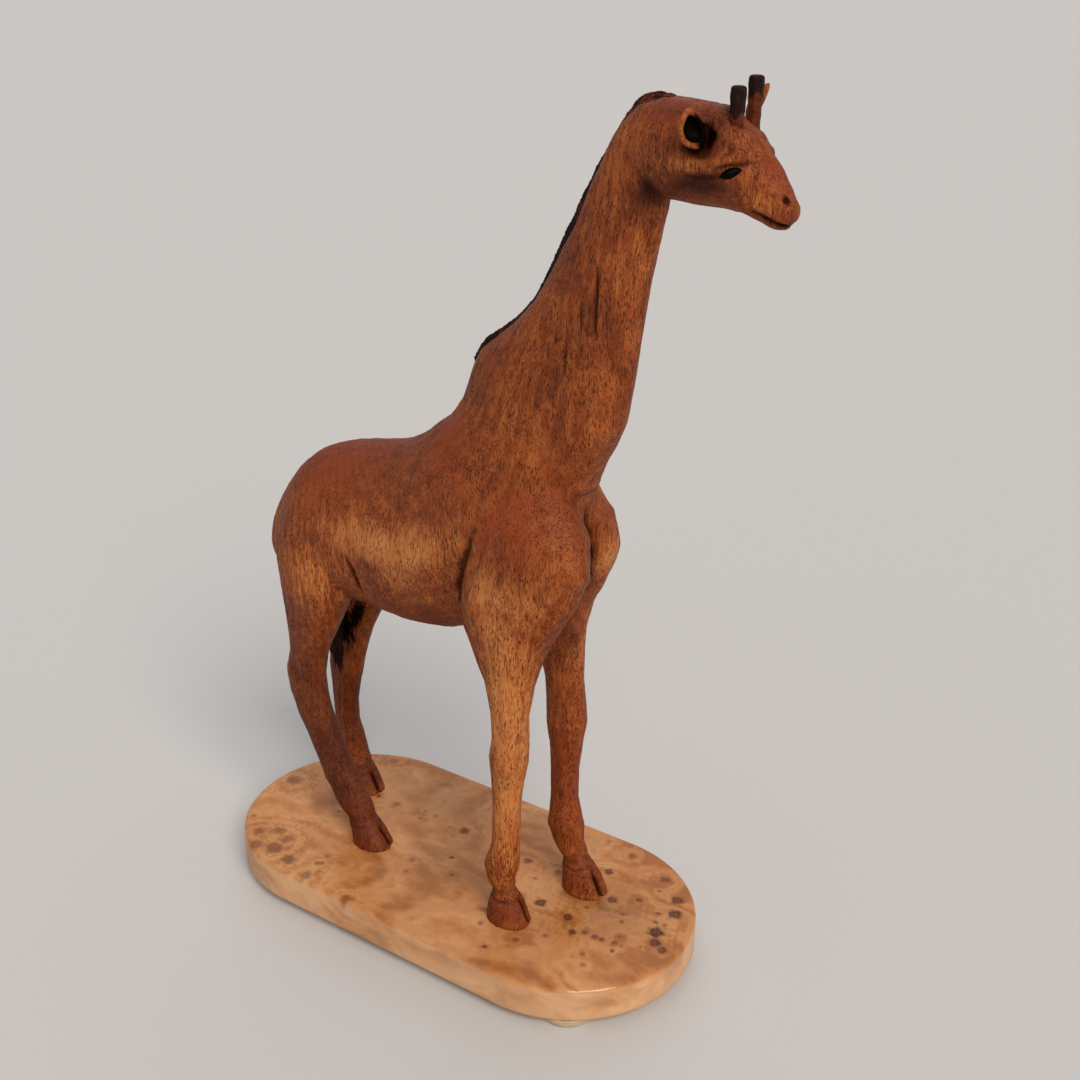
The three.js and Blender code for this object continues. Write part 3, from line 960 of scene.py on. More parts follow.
@dataclass
class CarvedFigure:
    """The giraffe itself, cut from one blank: trunk, neck, head and legs.

    Attributes:
        stance: Where the figure stands.
        voxel: The cell of the first skin, in millimetres.
        most_triangles: The most triangles of the finished piece.
        neck: The heights between which the neck fades into the head.
        chin: The height above which no vertex is thinned away.
        finest: The darkest shade of a vertex that may be thinned away.
        ear_plug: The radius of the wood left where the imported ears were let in.
    """

    stance: Stance
    voxel: float = 0.6
    quick_voxel: float = 0.95
    most_triangles: int = 188_000
    neck: tuple[float, float] = (215, 232)
    chin: float = 239
    finest: float = 0.12
    ear_plug: float = 3.6

    def blank(self) -> Piece:
        """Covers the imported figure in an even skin, with its sockets filled.

        Returns:
            The skin, in the figure's millimetres.
        """
        back = self.stance.to_figure()
        plugs = [merged_copy("carved_figure", "carved_figure_skin")]
        plugs[0].data.transform(back)
        for node, shift in PLUG_SHIFTS.items():
            plug = merged_copy(node, node + "_plug")
            plug.data.transform(Matrix.Translation(shift) @ back)
            plugs.append(plug)
        for place in EAR_PLUGS:
            shape = opened()
            bmesh.ops.create_icosphere(shape, subdivisions=3, radius=self.ear_plug)
            ball = closed(shape, bpy.data.meshes.new("ear_plug"))
            ball.transform(Matrix.Translation(place))
            plugs.append(placed("ear_plug", ball))
        return remeshed(joined("carved_figure_skin", plugs), self.voxel)

    def build(self, material: Material) -> Piece:
        """Carves the figure and dresses it.

        Args:
            material: The figure's wood.

        Returns:
            The finished figure.
        """
        blank = self.blank()
        skin = Skin(blank.data)
        skin.relax(14)
        scale = 1.0
        trunk = (84, 108)
        skin.relax(
            int(130 * scale), where=lambda p: smoothstep(*trunk, p[:, 2]) * (1 - smoothstep(*self.neck, p[:, 2]))
        )
        skin.relax(int(24 * scale), where=lambda p: smoothstep(*self.neck, p[:, 2]) * 0.9)
        strokes = skin.laid([*BODY_STROKES, *HEAD_STROKES, *leg_strokes()])
        shade = skin.shade(strokes)
        for batch in range(0, len(strokes), 8):
            skin.carve(strokes[batch : batch + 8])
        skin.ripple(9.0, 0.1, seed=5)
        skin.ripple(3.2, 0.035, seed=11)
        skin.relax(1)
        self.mark(blank.data, shade)
        spared = (points_of(blank.data)[:, 2] > self.chin) | (shade > self.finest)
        figure = thinned(blank, self.most_triangles, spared)
        figure.name = figure.data.name = "giraffe_figure"
        figure.data.transform(self.stance.to_row())
        return dressed(figure, material, Slot.STAINED_WOOD, "carved_figure")

    def mark(self, mesh: Mesh, shade: np.ndarray) -> None:
        """Stores where the wood is end grain, stained, red, pale and burnt, and where painted shade, shadow and
        highlight lie on it.

        Args:
            mesh: The carved mesh, in the figure's millimetres.
            shade: How dark the painted shade in the cuts is at each vertex.
        """
        points, normals = points_of(mesh), normals_of(mesh)
        up = smoothstep(0.25, 0.9, np.abs(normals[:, 2])) * smoothstep(60, 90, points[:, 2])
        put_mark(mesh, Mark.END_GRAIN, up)
        # Painted shade: vertices lying below the surface round them are darkened as if shade fell there.
        dips = smoothstep(0.12, 0.7, Skin(mesh).hollows(20)) * 0.75
        put_mark(mesh, Mark.HOLLOW, np.maximum(dips, shade))
        for mark, spots in STAINS.items():
            amounts = [spot.falloff(points) * spot.shade for spot in spots]
            put_mark(mesh, mark, np.maximum.reduce(amounts))


# How far each let-in node is moved, in millimetres, so that its wood fills its own socket.
PLUG_SHIFTS = {
    "eye_right": (0, 1.3, 0),
    "eye_left": (0, -1.3, 0),
    "ossicone_right": (0, 0, -14.5),
    "ossicone_left": (0, 0, -14.5),
    "mane_strip": (1.6, 0, -2.1),
}
EAR_PLUGS = ((87.5, -5.6, 261.4), (89.2, 5.1, 264.0))


@dataclass(frozen=True)
class Leg:
    """Where one leg's joints and hoof are, in the figure's millimetres.

    Attributes:
        hoof: The middle of the sole.
        pastern: The middle of the narrowest place above the hoof.
        fetlock: The middle of the joint above it.
        knee: The middle of the knee or hock.
        toe: The way the toe points, in radians from straight ahead.
    """

    hoof: tuple[float, float]
    pastern: Triple
    fetlock: Triple
    knee: Triple
    toe: float


LEGS = {
    "front_right": Leg((35.8, -16.0), (33.4, -16, 11.5), (32.7, -16, 20), (35.1, -16, 63), 0.3),
    "front_left": Leg((46.6, 13.6), (42.2, 13.6, 12), (37.6, 13.8, 23.5), (36.3, 14.3, 65), -0.1),
    "hind_right": Leg((-31.4, -13.0), (-37.2, -13, 10), (-45.8, -13, 22), (-62.9, -13, 61), 0.35),
    "hind_left": Leg((-59.6, 12.0), (-62.5, 12.5, 10), (-66, 13, 22), (-66.6, 13.5, 61), 0.0),
}


def cuts(*rows: Sequence, mirrored: bool = False) -> list[Stroke]:
    """Strokes from rows of a path, a width, a depth and a shade.

    Args:
        *rows: The rows. The shade may be left out.
        mirrored: Whether their mirror images follow them.

    Returns:
        The strokes.
    """
    made = [Stroke(*row) for row in rows]
    return made + [stroke.mirrored() for stroke in made] if mirrored else made


def stains(*rows: Sequence) -> list[Stroke]:
    """Stains from rows of a path, a width and a strength."""
    return [Stroke(path, width, shade=strength) for path, width, strength in rows]


def ring_round(middle: Triple, radius: float) -> list[Triple]:
    """A level ring of points round a leg."""
    x, y, z = middle
    turns = [2 * math.pi * k / 16 for k in range(17)]
    return [(x + radius * math.cos(a), y + radius * math.sin(a), z) for a in turns]


# Where a cut has a fourth number, it is how dark the painted shade laid in it is.
BODY_STROKES = [
    # Elbows: the flank tucks in behind the upper foreleg, deepest at the belly line.
    *cuts(
        (
            [(26, -23.4, 144), (21.7, -22.8, 133), (17.0, -20.5, 121), (17, -19.5, 115), (21.5, -20.5, 107)],
            1.15, 1.7, 0.85,
        ),
        ([(22, -23, 137), (14, -22, 122), (12, -20, 112)], 4.0, 1.0, 0.1),
        ([(29, -24, 130), (26, -23, 118), (28, -22, 110)], 5.0, -1.3),
        ([(26, -23, 146), (30, -23, 152)], 2.0, 0.4, 0.1),
        mirrored=True,
    ),
    # Stifles: a short tuck in front of each thigh.
    *cuts(
        ([(-31, -21.4, 119), (-29, -21, 114), (-28.4, -20, 109), (-28.6, -17.8, 104)], 1.1, 1.4, 0.85),
        ([(-26, -22, 120), (-24, -20, 108)], 4.0, 0.8, 0.08),
        ([(-36, -22, 116), (-36, -21, 104)], 4.5, -0.8),
        mirrored=True,
    ),
    # Chest: the cleft between the shoulders, the fold where the neck meets them, and the far shoulder. The cleft is
    # painted dark as the shadow beside the near shoulder's edge.
    *cuts(
        ([(51, 1.3, 149.5), (51, 2.7, 142.3), (51.5, 3.6, 136), (51, 4.5, 129.3), (47, 8.0, 118.7)], 0.85, 1.6, 1.1),
        ([(52, 1.5, 150), (54, 2, 142), (54, 3, 130)], 3.6, 0.8, 0.1),
        ([(50, -9, 154), (52.6, -1.2, 155), (50, 8, 154)], 1.5, 0.9, 0.2),
        ([(56, -12, 141), (55, -14, 130)], 6.0, -0.9),
        ([(52.6, 14.9, 147)], 7.0, 1.7),
        ([(50.5, 17, 134), (49, 17, 124), (46, 17, 112)], 7.5, -1.3),
    ),
    # Belly and rump.
    *cuts(
        ([(-66, -16, 134), (-70, -17, 117)], 8.0, 0.9),
        ([(2, -8, 94), (18, -8, 96)], 9.0, 1.2),
        mirrored=True,
    ),
    *cuts(([(52, 12, 150)], 3.5, 0.4)),
    # Shoulders and haunches stand proud of the ribs.
    *cuts(
        ([(-54, -20, 128), (-52, -20, 112)], 9.0, -0.8),
        ([(-6, -23, 146), (-16, -23, 138)], 10.0, 0.5),
        ([(24, -22, 160), (36, -20, 176), (44, -14, 192)], 6.0, 0.7, 0.04),
        ([(50, -12, 176), (58, -8, 205), (64, -7, 235)], 3.0, -0.5),
        mirrored=True,
    ),
    # Drying checks run up the side of the neck.
    *cuts(
        ([(58.6, -8.4, 226), (59.3, -8.5, 206)], 0.45, 0.55, 1.1),
        ([(50.5, -12.0, 204), (50.2, -12.4, 194)], 0.4, 0.4, 0.8),
        ([(54.5, -10.5, 214), (54.8, -10.8, 208)], 0.35, 0.35, 0.7),
    ),
]

# Where a cut has a fourth number, it is how dark the painted shade laid in it is.
HEAD_STROKES = [
    *cuts(
        # Brow, lids and the line that runs back from the eye.
        ([(91, -11.5, 258.0), (96.7, -11, 257.9), (100.2, -9, 259), (102.4, -6.5, 260.2)], 1.5, -1.0),
        ([(96.2, -11.4, 256.2), (98.6, -10.6, 257.0), (101, -9.1, 257.4), (103.8, -5.7, 257.9)], 0.5, 0.6, 0.75),
        ([(97, -11.4, 253.6), (99.2, -10.2, 253.4), (101.8, -8.6, 254.8)], 0.7, -0.5),
        ([(98.2, -11.2, 254.6), (94, -11.2, 253.6), (90, -10.9, 253.2), (86.9, -10.5, 253.4)], 0.75, 0.6, 0.7),
        # Cheek above, hollow below it, and the jaw's edge.
        ([(86, -10.4, 256), (79, -9.4, 257)], 4.0, -0.7),
        ([(98.2, -9.1, 250.4), (93.9, -10.2, 251.4), (88, -9.9, 251.2), (81, -8, 249.5)], 2.2, 0.6, 0.2),
        ([(103.5, -7.5, 252.5), (106, -6.4, 250)], 2.2, 0.35),
        # Temple: small knife facets between ear, eye and horn.
        ([(95.4, -9.4, 261.0), (97, -8.8, 263.4)], 0.8, 0.7, 0.45),
        ([(97.3, -10.1, 259.6), (99.4, -8.4, 261.4)], 0.7, 0.6, 0.4),
        ([(92.8, -5.6, 267.6), (94.6, -7.4, 265.4)], 0.8, 0.7, 0.45),
        ([(98.3, -8.4, 261.8)], 0.9, -0.6),
        ([(94.9, -8.8, 264.0)], 0.9, -0.6),
        ([(88.3, -11.2, 259.6), (92.5, -11.2, 259.6)], 0.9, 0.7, 0.8),
        # Muzzle: nostril, lip and mouth.
        ([(112.0, -3.5, 249.9), (112.4, -3.1, 248.9)], 0.85, 1.4, 1.2),
        (
            [
                (112.6, -0.8, 242.2), (111.6, -2.2, 242.4), (109.5, -3.9, 243.2), (106.7, -5.1, 244.6),
                (104.2, -5.7, 245.7),
            ],
            0.7, 1.0, 1.0,
        ),
        ([(110.6, -3.6, 244.6), (107.4, -5.0, 246.2)], 1.0, -0.3),
        # Throat corner.
        ([(71.7, -6.2, 249.5), (73.7, -4.2, 245.6), (75.6, -1.5, 245.1)], 1.8, 0.8, 0.5),
        mirrored=True,
    ),
    *cuts(
        # The recess under the right ear's cup, painted black as the shadow under the ear, and the bosses that the horns
        # stand on.
        ([(89.8, -10.2, 263.6)], 3.6, 3.0, 1.0),
        (
            [
                (85.4, -11.2, 261.0), (88.4, -11.2, 260.2), (91.6, -10.7, 261.2), (92.8, -9.2, 263.8),
                (91.4, -7.4, 266.4),
            ],
            1.2, 1.0, 1.2,
        ),
        ([(95.5, -6, 265), (99, -4.4, 264)], 3.8, -2.0),
        ([(88.9, -1.5, 270.2), (95.5, -2, 268.5)], 3.6, -1.4),
        ([(104.5, 0, 260.5), (109.9, 0, 254.2)], 3.2, 0.8),
        ([(108.5, 0.5, 255.5), (112.0, 0.5, 251.5), (114, 1, 247), (113.8, 1, 243.5)], 4.4, 1.15),
        ([(99.4, -5.2, 263)], 2.2, -0.8),
        ([(95, 5.4, 265)], 2.4, -0.5),
        ([(103, 4.5, 261), (104.5, 3.5, 259)], 2.6, 0.9),
        ([(100.5, 1, 266), (102.5, 0.5, 263)], 2.4, 0.8),
        ([(96, 0, 244.5), (103, 0, 242.3)], 3.0, 0.9),
    ),
]


def leg_strokes() -> list[Stroke]:
    """The cuts that shape knees, hocks, pasterns and the cloven hooves.

    Returns:
        The strokes of all four legs.
    """
    strokes = []
    for name, leg in LEGS.items():
        ahead = np.array([math.cos(leg.toe), math.sin(leg.toe)])
        tip = np.array(leg.hoof) + ahead * 8.4
        cleft = [(*(tip - ahead * 4.2), 8.6), (*(tip - ahead * 1.6), 5.0), (*tip, 0.2)]
        x, y, z = leg.pastern
        # The hoof cleft and the grooves round the pastern get painted shade.
        strokes += cuts(
            (cleft, 0.95, 2.2, 1.2),
            (cleft, 2.0, 0.5, 0.15),
            (ring_round(leg.pastern, 4.6), 1.5, 0.5, 0.35),
            (ring_round((x + 0.6, y, z - 2.4), 5.4), 0.6, 0.4, 0.55),
            (ring_round(leg.fetlock, 5.6), 2.2, -0.35),
        )
        x, y, z = leg.knee
        out = math.copysign(1, y)
        if name.startswith("front"):
            strokes += cuts(
                ([(x + 1, y + out * 6.4, z + 6), (x + 2, y + out * 6.4, z - 5)], 2.4, -0.6),
                ([(x + 5.5, y + out * 3, z + 9), (x + 6, y + out * 3, z + 11)], 1.2, 0.5, 0.3),
                ([(x - 3, y + out * 6, z + 4), (x - 3, y + out * 6, z - 6)], 1.2, 0.4, 0.25),
            )
        else:
            strokes += cuts(
                ([(x - 7, y, z + 4), (x - 8, y, z)], 2.4, -0.7),
                ([(x - 2, y + out * 5.6, z + 8), (x + 1, y + out * 5.6, z - 2)], 1.6, 0.5, 0.2),
            )
    return strokes


STAINS = {
    Mark.RED: stains(
        ([(46, -18, 156), (38, -23, 146), (28, -23, 152)], 14, 1.0),
        ([(50, 12, 150), (46, 18, 140)], 10, 0.5),
        ([(20, -20, 172), (0, -22, 160)], 15, 0.9),
        ([(-60, -10, 138), (-30, -12, 148)], 18, 0.8),
        ([(-60, 10, 138), (-30, 12, 148), (10, 20, 165), (36, 22, 146)], 18, 0.8),
        ([(104, -5, 258), (110, 0, 253)], 6, 0.9),
        ([(100, -8, 250), (108, -5, 247)], 5, 0.3),
        ([(84, -6, 268), (74, -6, 266)], 7, 0.8),
        ([(112, -3, 248)], 4, 0.5),
        *(([(*leg.hoof, 3), (*leg.hoof, 10)], 9, 1.0) for leg in LEGS.values()),
        ([(46.6, 13.6, 15), (37, 14, 40), (36, 14, 80)], 11, 0.6),
    ),
    Mark.PALE: stains(
        ([(-42, -22, 126), (-30, -23, 127), (-10, -23, 127), (8, -24, 132), (18, -24, 136)], 9, 0.85),
        ([(-20, -22, 118), (4, -24, 120)], 8, 0.55),
        ([(34, -26, 132), (36, -24, 116), (36, -18, 96), (36, -18, 60), (34, -18, 24), (34, -18, 14)], 11, 0.86),
        ([(-44, -22, 122), (-48, -20, 104), (-54, -18, 90)], 14, 0.48),
        ([(53, 12, 138), (50, 14, 124)], 9, 0.9),
        ([(62, 0, 215), (68, 0, 245)], 9, 0.4),
        # Painted highlight along the right cheek's ridge.
        ([(97, -11, 257), (88, -11, 257), (78, -9, 256)], 3.2, 0.55),
        ([(103, -8, 250), (110, -5, 246)], 4, 0.5),
        ([(84, -9, 263), (78, -9, 260)], 5, 0.35),
        ([(22, -24, 128), (38, -22, 124), (52, -14, 124)], 11, 0.75),
        # Painted highlight on a temple facet.
        ([(97, -8, 261)], 3.0, 0.4),
        ([(-42, 22, 126), (-22, 23, 128), (18, 24, 134)], 10, 0.8),
        ([(34, 24, 132), (38, 20, 104), (36, 16, 70)], 10, 0.6),
        ([(64, -2, 180), (60, -2, 170)], 9, 0.3),
    ),
    Mark.STAINED: stains(
        # Painted shade down the near hind leg, under the body.
        ([(-56, -20, 84), (-58, -14, 70), (-56, -13, 44), (-44, -13, 22), (-33, -13, 4), (-24, -13, -12)], 12, 1.1),
        ([(-72, 14, 100), (-72, 13, 60), (-62, 12, 6)], 12, 0.8),
        # Painted shade in the hollow under the cheek, and under the jaw at the throat.
        ([(99.4, -9.1, 251.2), (93.9, -10.2, 251.6), (86, -9.9, 250.8), (79, -7, 247.5)], 3.2, 1.35),
        ([(76, -5, 246), (72, -6, 248), (69, -7, 242)], 4.0, 1.2),
        ([(74, -6, 268), (84, -6, 268.5)], 3.0, 0.5),
        # Painted shadow round the recess under the right ear.
        ([(95, -10, 262), (92, -10, 264)], 3.2, 0.75),
        # Painted shadow under the belly.
        ([(-10, -14, 96), (12, -14, 98)], 9, 0.45),
        *(([(*leg.hoof, 1), (*leg.hoof, 10)], 8, 0.8 if leg.hoof[0] < 40 else 0.3) for leg in LEGS.values()),
        ([(40, 8, 110), (38, 9, 84)], 4.0, 0.55),
        ([(84, -6, 269.5), (88, -7, 268.5), (93, -6, 267.5), (96, -7, 263)], 2.8, 0.6),
        # Painted shadow under and behind the right ear.
        ([(86, -11, 258.6), (92, -11, 258.8), (98, -9, 261)], 1.8, 0.5),
        ([(80, -8, 262), (84, -10, 259)], 3.0, 0.3),
        # Painted shadow along the chest's cleft, beside the near shoulder's edge.
        ([(51, 1.3, 149.5), (51, 2.7, 142.3), (51.5, 3.6, 136), (51, 4.5, 129.3), (47, 8.4, 118.7)], 3.0, 0.7),
        ([(36, 7, 60), (38, 8, 26)], 3.0, 0.5),
        ([(40, -14, 185), (52, -12, 200), (52, -10, 230)], 9, 0.3),
    ),
    Mark.SOOT: stains(
        ([(-58, 9, 98), (-62, 8, 88), (-64, 8, 78), (-63, 8, 70), (-62, 8, 62)], 5.6, 1.1),
        # Painted shadow in the recess under the right ear and along the cup's lower edge.
        (
            [
                (85.6, -10.9, 261.4), (88.4, -11.2, 260.3), (91.6, -10.7, 261.2), (92.6, -9.2, 263.8),
                (91.4, -7.4, 266.4),
            ],
            1.7, 1.3,
        ),
        ([(89.6, -10, 263.6)], 3.8, 1.3),
        ([(97.6, -11.4, 254.6), (93, -11, 253.4)], 1.0, 0.6),
        ([(110, -3.6, 243), (112.5, 0, 242.4)], 0.8, 0.7),
        # Painted shadow along the chest's cleft.
        ([(51, 1.3, 149.5), (51, 2.7, 142.3), (51.5, 3.6, 136), (51, 4.5, 129.3)], 1.5, 0.9),
        ([(-51, 6.0, 87), (-54.5, 6.4, 82), (-60.6, 7.7, 69.5)], 3.4, 0.95),
    ),
}


# ---------------------------------------------------------------- let-in pieces


@dataclass
class ManeStrip:
    """The seared mane: a narrow ridge let into the nape, nicked with a hot blade from withers to poll.

    Attributes:
        stance: Where the figure stands.
        crest: The nape's line, as x and z in the figure's millimetres.
        proud: How far the ridge stands above the nape.
        rows_across: Each row of locks: its place across the ridge and its share of the ridge's height.
        lock_spacing: How far apart the nicked locks are.
        lock_length: The length of one lock.
        lock_girth: Half a lock's width.
        unruly: How far a lock may turn, in radians.
    """

    stance: Stance
    crest: Sequence[tuple[float, float]] = (
        (9.6, 190.6), (13.2, 195.2), (21.2, 200.8), (29.8, 208), (36, 216.6), (41, 226.5), (47, 238),
        (52.8, 249.2), (58.4, 258.4), (63, 265.2), (68, 269.7), (74, 270.9), (79, 270.2),
    )
    proud: float = 1.5
    rows_across: Path = ((-1.75, 0.0), (-1.05, 0.45), (0.0, 0.25), (0.0, 0.85), (1.05, 0.45), (1.75, 0.0))
    lock_spacing: float = 1.0
    lock_length: float = 1.7
    lock_girth: float = 0.62
    unruly: float = 0.25

    def lock(self) -> Piece:
        """One lock: a small leaf-shaped blade lying along +X, in millimetres, at the origin."""
        rings = [(-0.5, 0.12), (-0.3, 0.75), (0.0, 1.0), (0.3, 0.7), (0.5, 0.1)]
        points = spun([(self.lock_girth * r, x * self.lock_length) for x, r in rings], 6)
        return tube("mane_lock", [(x, y, z) for y, z, x in points], 6)

    def rows(self) -> Piece:
        """The lines that the locks follow: two low on each side and two along the ridge.

        Returns:
            A curve object in the figure's millimetres.
        """
        curve = bpy.data.curves.new("mane_rows", "CURVE")
        curve.dimensions = "3D"
        line = np.asarray(self.crest, float)
        slope = np.gradient(line, axis=0)
        slope /= np.linalg.norm(slope, axis=1)[:, None]
        out = np.stack([-slope[:, 1], slope[:, 0]], axis=1)
        order = np.arange(len(line))
        ease = np.minimum(1, np.minimum(order / 2, (len(line) - 1 - order) / 2))
        ease *= 1 + 0.5 * smoothstep(255, 268, line[:, 1])
        for across, share in self.rows_across:
            spline = curve.splines.new("BEZIER")
            spline.bezier_points.add(len(line) - 1)
            for knot, (x, z) in zip(spline.bezier_points, line + out * (self.proud * share * ease)[:, None]):
                knot.co = (x, across, z)
                knot.handle_left_type = knot.handle_right_type = "AUTO"
        return placed("mane_rows", curve)

    def build(self, material: Material) -> Piece:
        """Builds the ridge and its locks.

        Args:
            material: The seared wood.

        Returns:
            The finished mane.
        """
        core = merged_copy("mane_strip", "mane_core")
        core.data.transform(Matrix.Translation((0.45, 0, -0.45)) @ self.stance.to_figure())
        core = remeshed(core, CORE_CELL)
        skin = Skin(core.data)
        skin.relax(4)
        skin.ripple(1.6, 0.12, seed=3)
        rows = Copies(material, self.lock_spacing, self.unruly, seed=21)
        mane = joined("mane_strip_seared", [core, rows.along("mane_locks", self.rows(), self.lock())])
        x, _, z = points_of(mane.data).T
        put_mark(mane.data, Mark.SOOT, 0.52 - 0.24 * smoothstep(260, 270, z) + 0.12 * np.sin(x * 0.9))
        mane.data.transform(self.stance.to_row())
        return dressed(mane, material, Slot.BURNT_WOOD, "mane_strip")


CORE_CELL = 0.5
COPY_SIZES = (0.75, 1.2)


@dataclass
class Copies:
    """Copies of one item, strewn along curves with Geometry Nodes.

    Attributes:
        material: The material to set.
        spacing: How far apart the copies are.
        unruly: How far each copy may turn, in radians.
        seed: Fixes the sizes.
    """

    material: Material
    spacing: float
    unruly: float
    seed: int

    def along(self, name: str, rows: Piece, item: Piece) -> Piece:
        """Sets the copies and makes them one plain mesh.

        Args:
            name: The result's name.
            rows: The curves, which lie in planes of constant y. They are removed.
            item: The mesh to repeat, pointing along +X. It is removed.

        Returns:
            The copies as one mesh.
        """
        tree = bpy.data.node_groups.new(name, "GeometryNodeTree")
        values = {
            "Item": ("Object", item),
            "Spacing": ("Float", self.spacing),
            "Unruly": ("Float", self.unruly),
            "Seed": ("Int", self.seed),
            "Finish": ("Material", self.material),
        }
        tree.interface.new_socket("Rows", in_out="INPUT", socket_type="NodeSocketGeometry")
        keys = {
            label: tree.interface.new_socket(label, in_out="INPUT", socket_type="NodeSocket" + kind).identifier
            for label, (kind, _) in values.items()
        }
        tree.interface.new_socket("Copies", in_out="OUTPUT", socket_type="NodeSocketGeometry")

        def node(kind: str, inputs: dict, output: int | str = 0, **settings) -> Socket:
            """Adds a node to the tree and gives one of its outputs."""
            return add_node(tree, kind, inputs, **settings).outputs[output]

        def chance(low: float | Socket, high: float | Socket, seed: int | Socket) -> Socket:
            """A random number for each copy."""
            return node("FunctionNodeRandomValue", {2: low, 3: high, "Seed": seed}, 1, data_type="FLOAT")

        given = tree.nodes.new("NodeGroupInput").outputs
        spots = add_node(
            tree, "GeometryNodeCurveToPoints", {"Curve": given["Rows"], "Length": given["Spacing"]}, mode="LENGTH"
        ).outputs
        shape = node("GeometryNodeObjectInfo", {"Object": given["Item"]}, "Geometry", transform_space="ORIGINAL")
        aimed = node("FunctionNodeAlignRotationToVector", {"Vector": spots["Tangent"]}, axis="X", pivot_axis="Y")
        back = node("ShaderNodeMath", {0: given["Unruly"], 1: -1.0}, operation="MULTIPLY")
        lean = node("ShaderNodeCombineXYZ", {axis: chance(back, given["Unruly"], axis + 1) for axis in range(3)})
        loose = node("FunctionNodeEulerToRotation", {"Euler": lean})
        turned = node("FunctionNodeRotateRotation", {"Rotation": aimed, "Rotate By": loose}, rotation_space="LOCAL")
        size = chance(*COPY_SIZES, given["Seed"])
        each = {"Points": spots["Points"], "Instance": shape, "Rotation": turned, "Scale": size}
        real = node("GeometryNodeRealizeInstances", {"Geometry": node("GeometryNodeInstanceOnPoints", each)})
        finished = node("GeometryNodeSetMaterial", {"Geometry": real, "Material": given["Finish"]})
        add_node(tree, "NodeGroupOutput", {"Copies": finished})
        repeat = rows.modifiers.new("copies", "NODES")
        repeat.node_group = tree
        for label, (_, value) in values.items():
            repeat[keys[label]] = value
        result = evaluated(name, rows)
        bpy.data.objects.remove(item)
        return result


@dataclass(frozen=True)
class Cup:
    """One ear's cup, in the figure's millimetres.

    Attributes:
        centre: The middle of its mouth.
        faces: The way its mouth opens.
        tip: The way its pointed side goes.
        across: Half its mouth's width.
        along: Half its mouth's length.
        depth: How deep it is outside.
        tuck: How far its rim sinks into the head at the front, where it is painted black as the shadow of the recess
            below it.
    """

    centre: Triple
    faces: Triple
    tip: Triple
    across: float
    along: float
    depth: float
    tuck: float


@dataclass
class Ears:
    """Two carved ears: the right one a cup that faces out and forward, the left one cocked up.

    Attributes:
        stance: Where the figure stands.
        wall: The thickness of an ear's wall.
        columns: How many points go round an ear.
        pale: How far an ear is sanded pale.
        red: How far an ear is stained red.
    """

    stance: Stance
    wall: float = 1.4
    columns: int = 40
    pale: float = 0.2
    red: float = 0.4

    def profile(self, cup: Cup) -> list[Triple]:
        """A cup's section, from the middle outside over the rim to the middle inside.

        Args:
            cup: The cup's size.

        Returns:
            The share of the full width, the height over the mouth and the soot of each row.
        """
        inner = 1 - self.wall / min(cup.across, cup.along)
        inside = cup.depth - self.wall * 0.8
        rows = [(r, -cup.depth * math.sqrt(max(0.0, 1 - r**2.4)), 0.0) for r in np.linspace(0.06, 0.97, 12)]
        rows += [(1.0, -0.1, 0.0), (0.99, 0.28, 0.0), (0.93, 0.42, 0.0), (inner + 0.05, 0.3, 0.5)]
        rows += [(inner * r, -inside * math.sqrt(max(0.0, 1 - r**2.2)), 1.3) for r in np.linspace(0.97, 0.06, 12)]
        return rows

    def carve(self, name: str, cup: Cup) -> Piece:
        """A thick-rimmed cup with a pointed side.

        Args:
            name: The ear's name.
            cup: Its place and size.

        Returns:
            The ear, in the figure's millimetres, with its soot marked.
        """
        out = Vector(cup.faces).normalized()
        up = (Vector(cup.tip) - out * Vector(cup.tip).dot(out)).normalized()
        side = up.cross(out)
        points, burnt = [], []
        for reach, height, soot in self.profile(cup):
            for k in range(self.columns):
                angle = 2 * math.pi * k / self.columns
                front = max(0.0, math.sin(angle - 0.25)) ** 0.8
                # The sunk front of a tucked cup is blackened as painted shadow.
                burnt.append(max(soot, 1.6 * front if cup.tuck else 0.0))
                point = 1 + 0.28 * max(0.0, math.cos(angle)) ** 5
                curl = reach**2 * (0.5 * math.cos(2 * angle) - cup.tuck * front)
                at = up * (cup.along * reach * math.cos(angle) * point) + side * (cup.across * reach * math.sin(angle))
                points.append(Vector(cup.centre) + at + out * (height + curl))
        ear = tube(name, points, self.columns)
        outward(ear.data)
        put_mark(ear.data, Mark.SOOT, np.asarray(burnt))
        return ear

    def build(self, material: Material) -> None:
        """Builds both ears, with their hollows painted black and the right cup's sunk front painted as shadow.

        Args:
            material: The figure's wood.
        """
        cups = {
            Side.RIGHT: Cup((89.4, -12.4, 264.9), (0.66, -0.68, 0.3), (-0.15, -0.2, 0.9), 3.9, 4.5, 4.2, 3.6),
            Side.LEFT: Cup((93.8, 10.6, 269.9), (0.2, 0.95, -0.1), (0.42, 0.05, 0.8), 2.0, 5.0, 1.8, 0.0),
        }
        for side, cup in cups.items():
            node = "ear_" + side.name.lower()
            ear = self.carve(node + "_carved", cup)
            for mark, amount in ((Mark.PALE, self.pale), (Mark.RED, self.red)):
                put_mark(ear.data, mark, np.full(len(ear.data.vertices), amount))
            ear.data.transform(self.stance.to_row())
            dressed(ear, material, Slot.STAINED_WOOD, node)


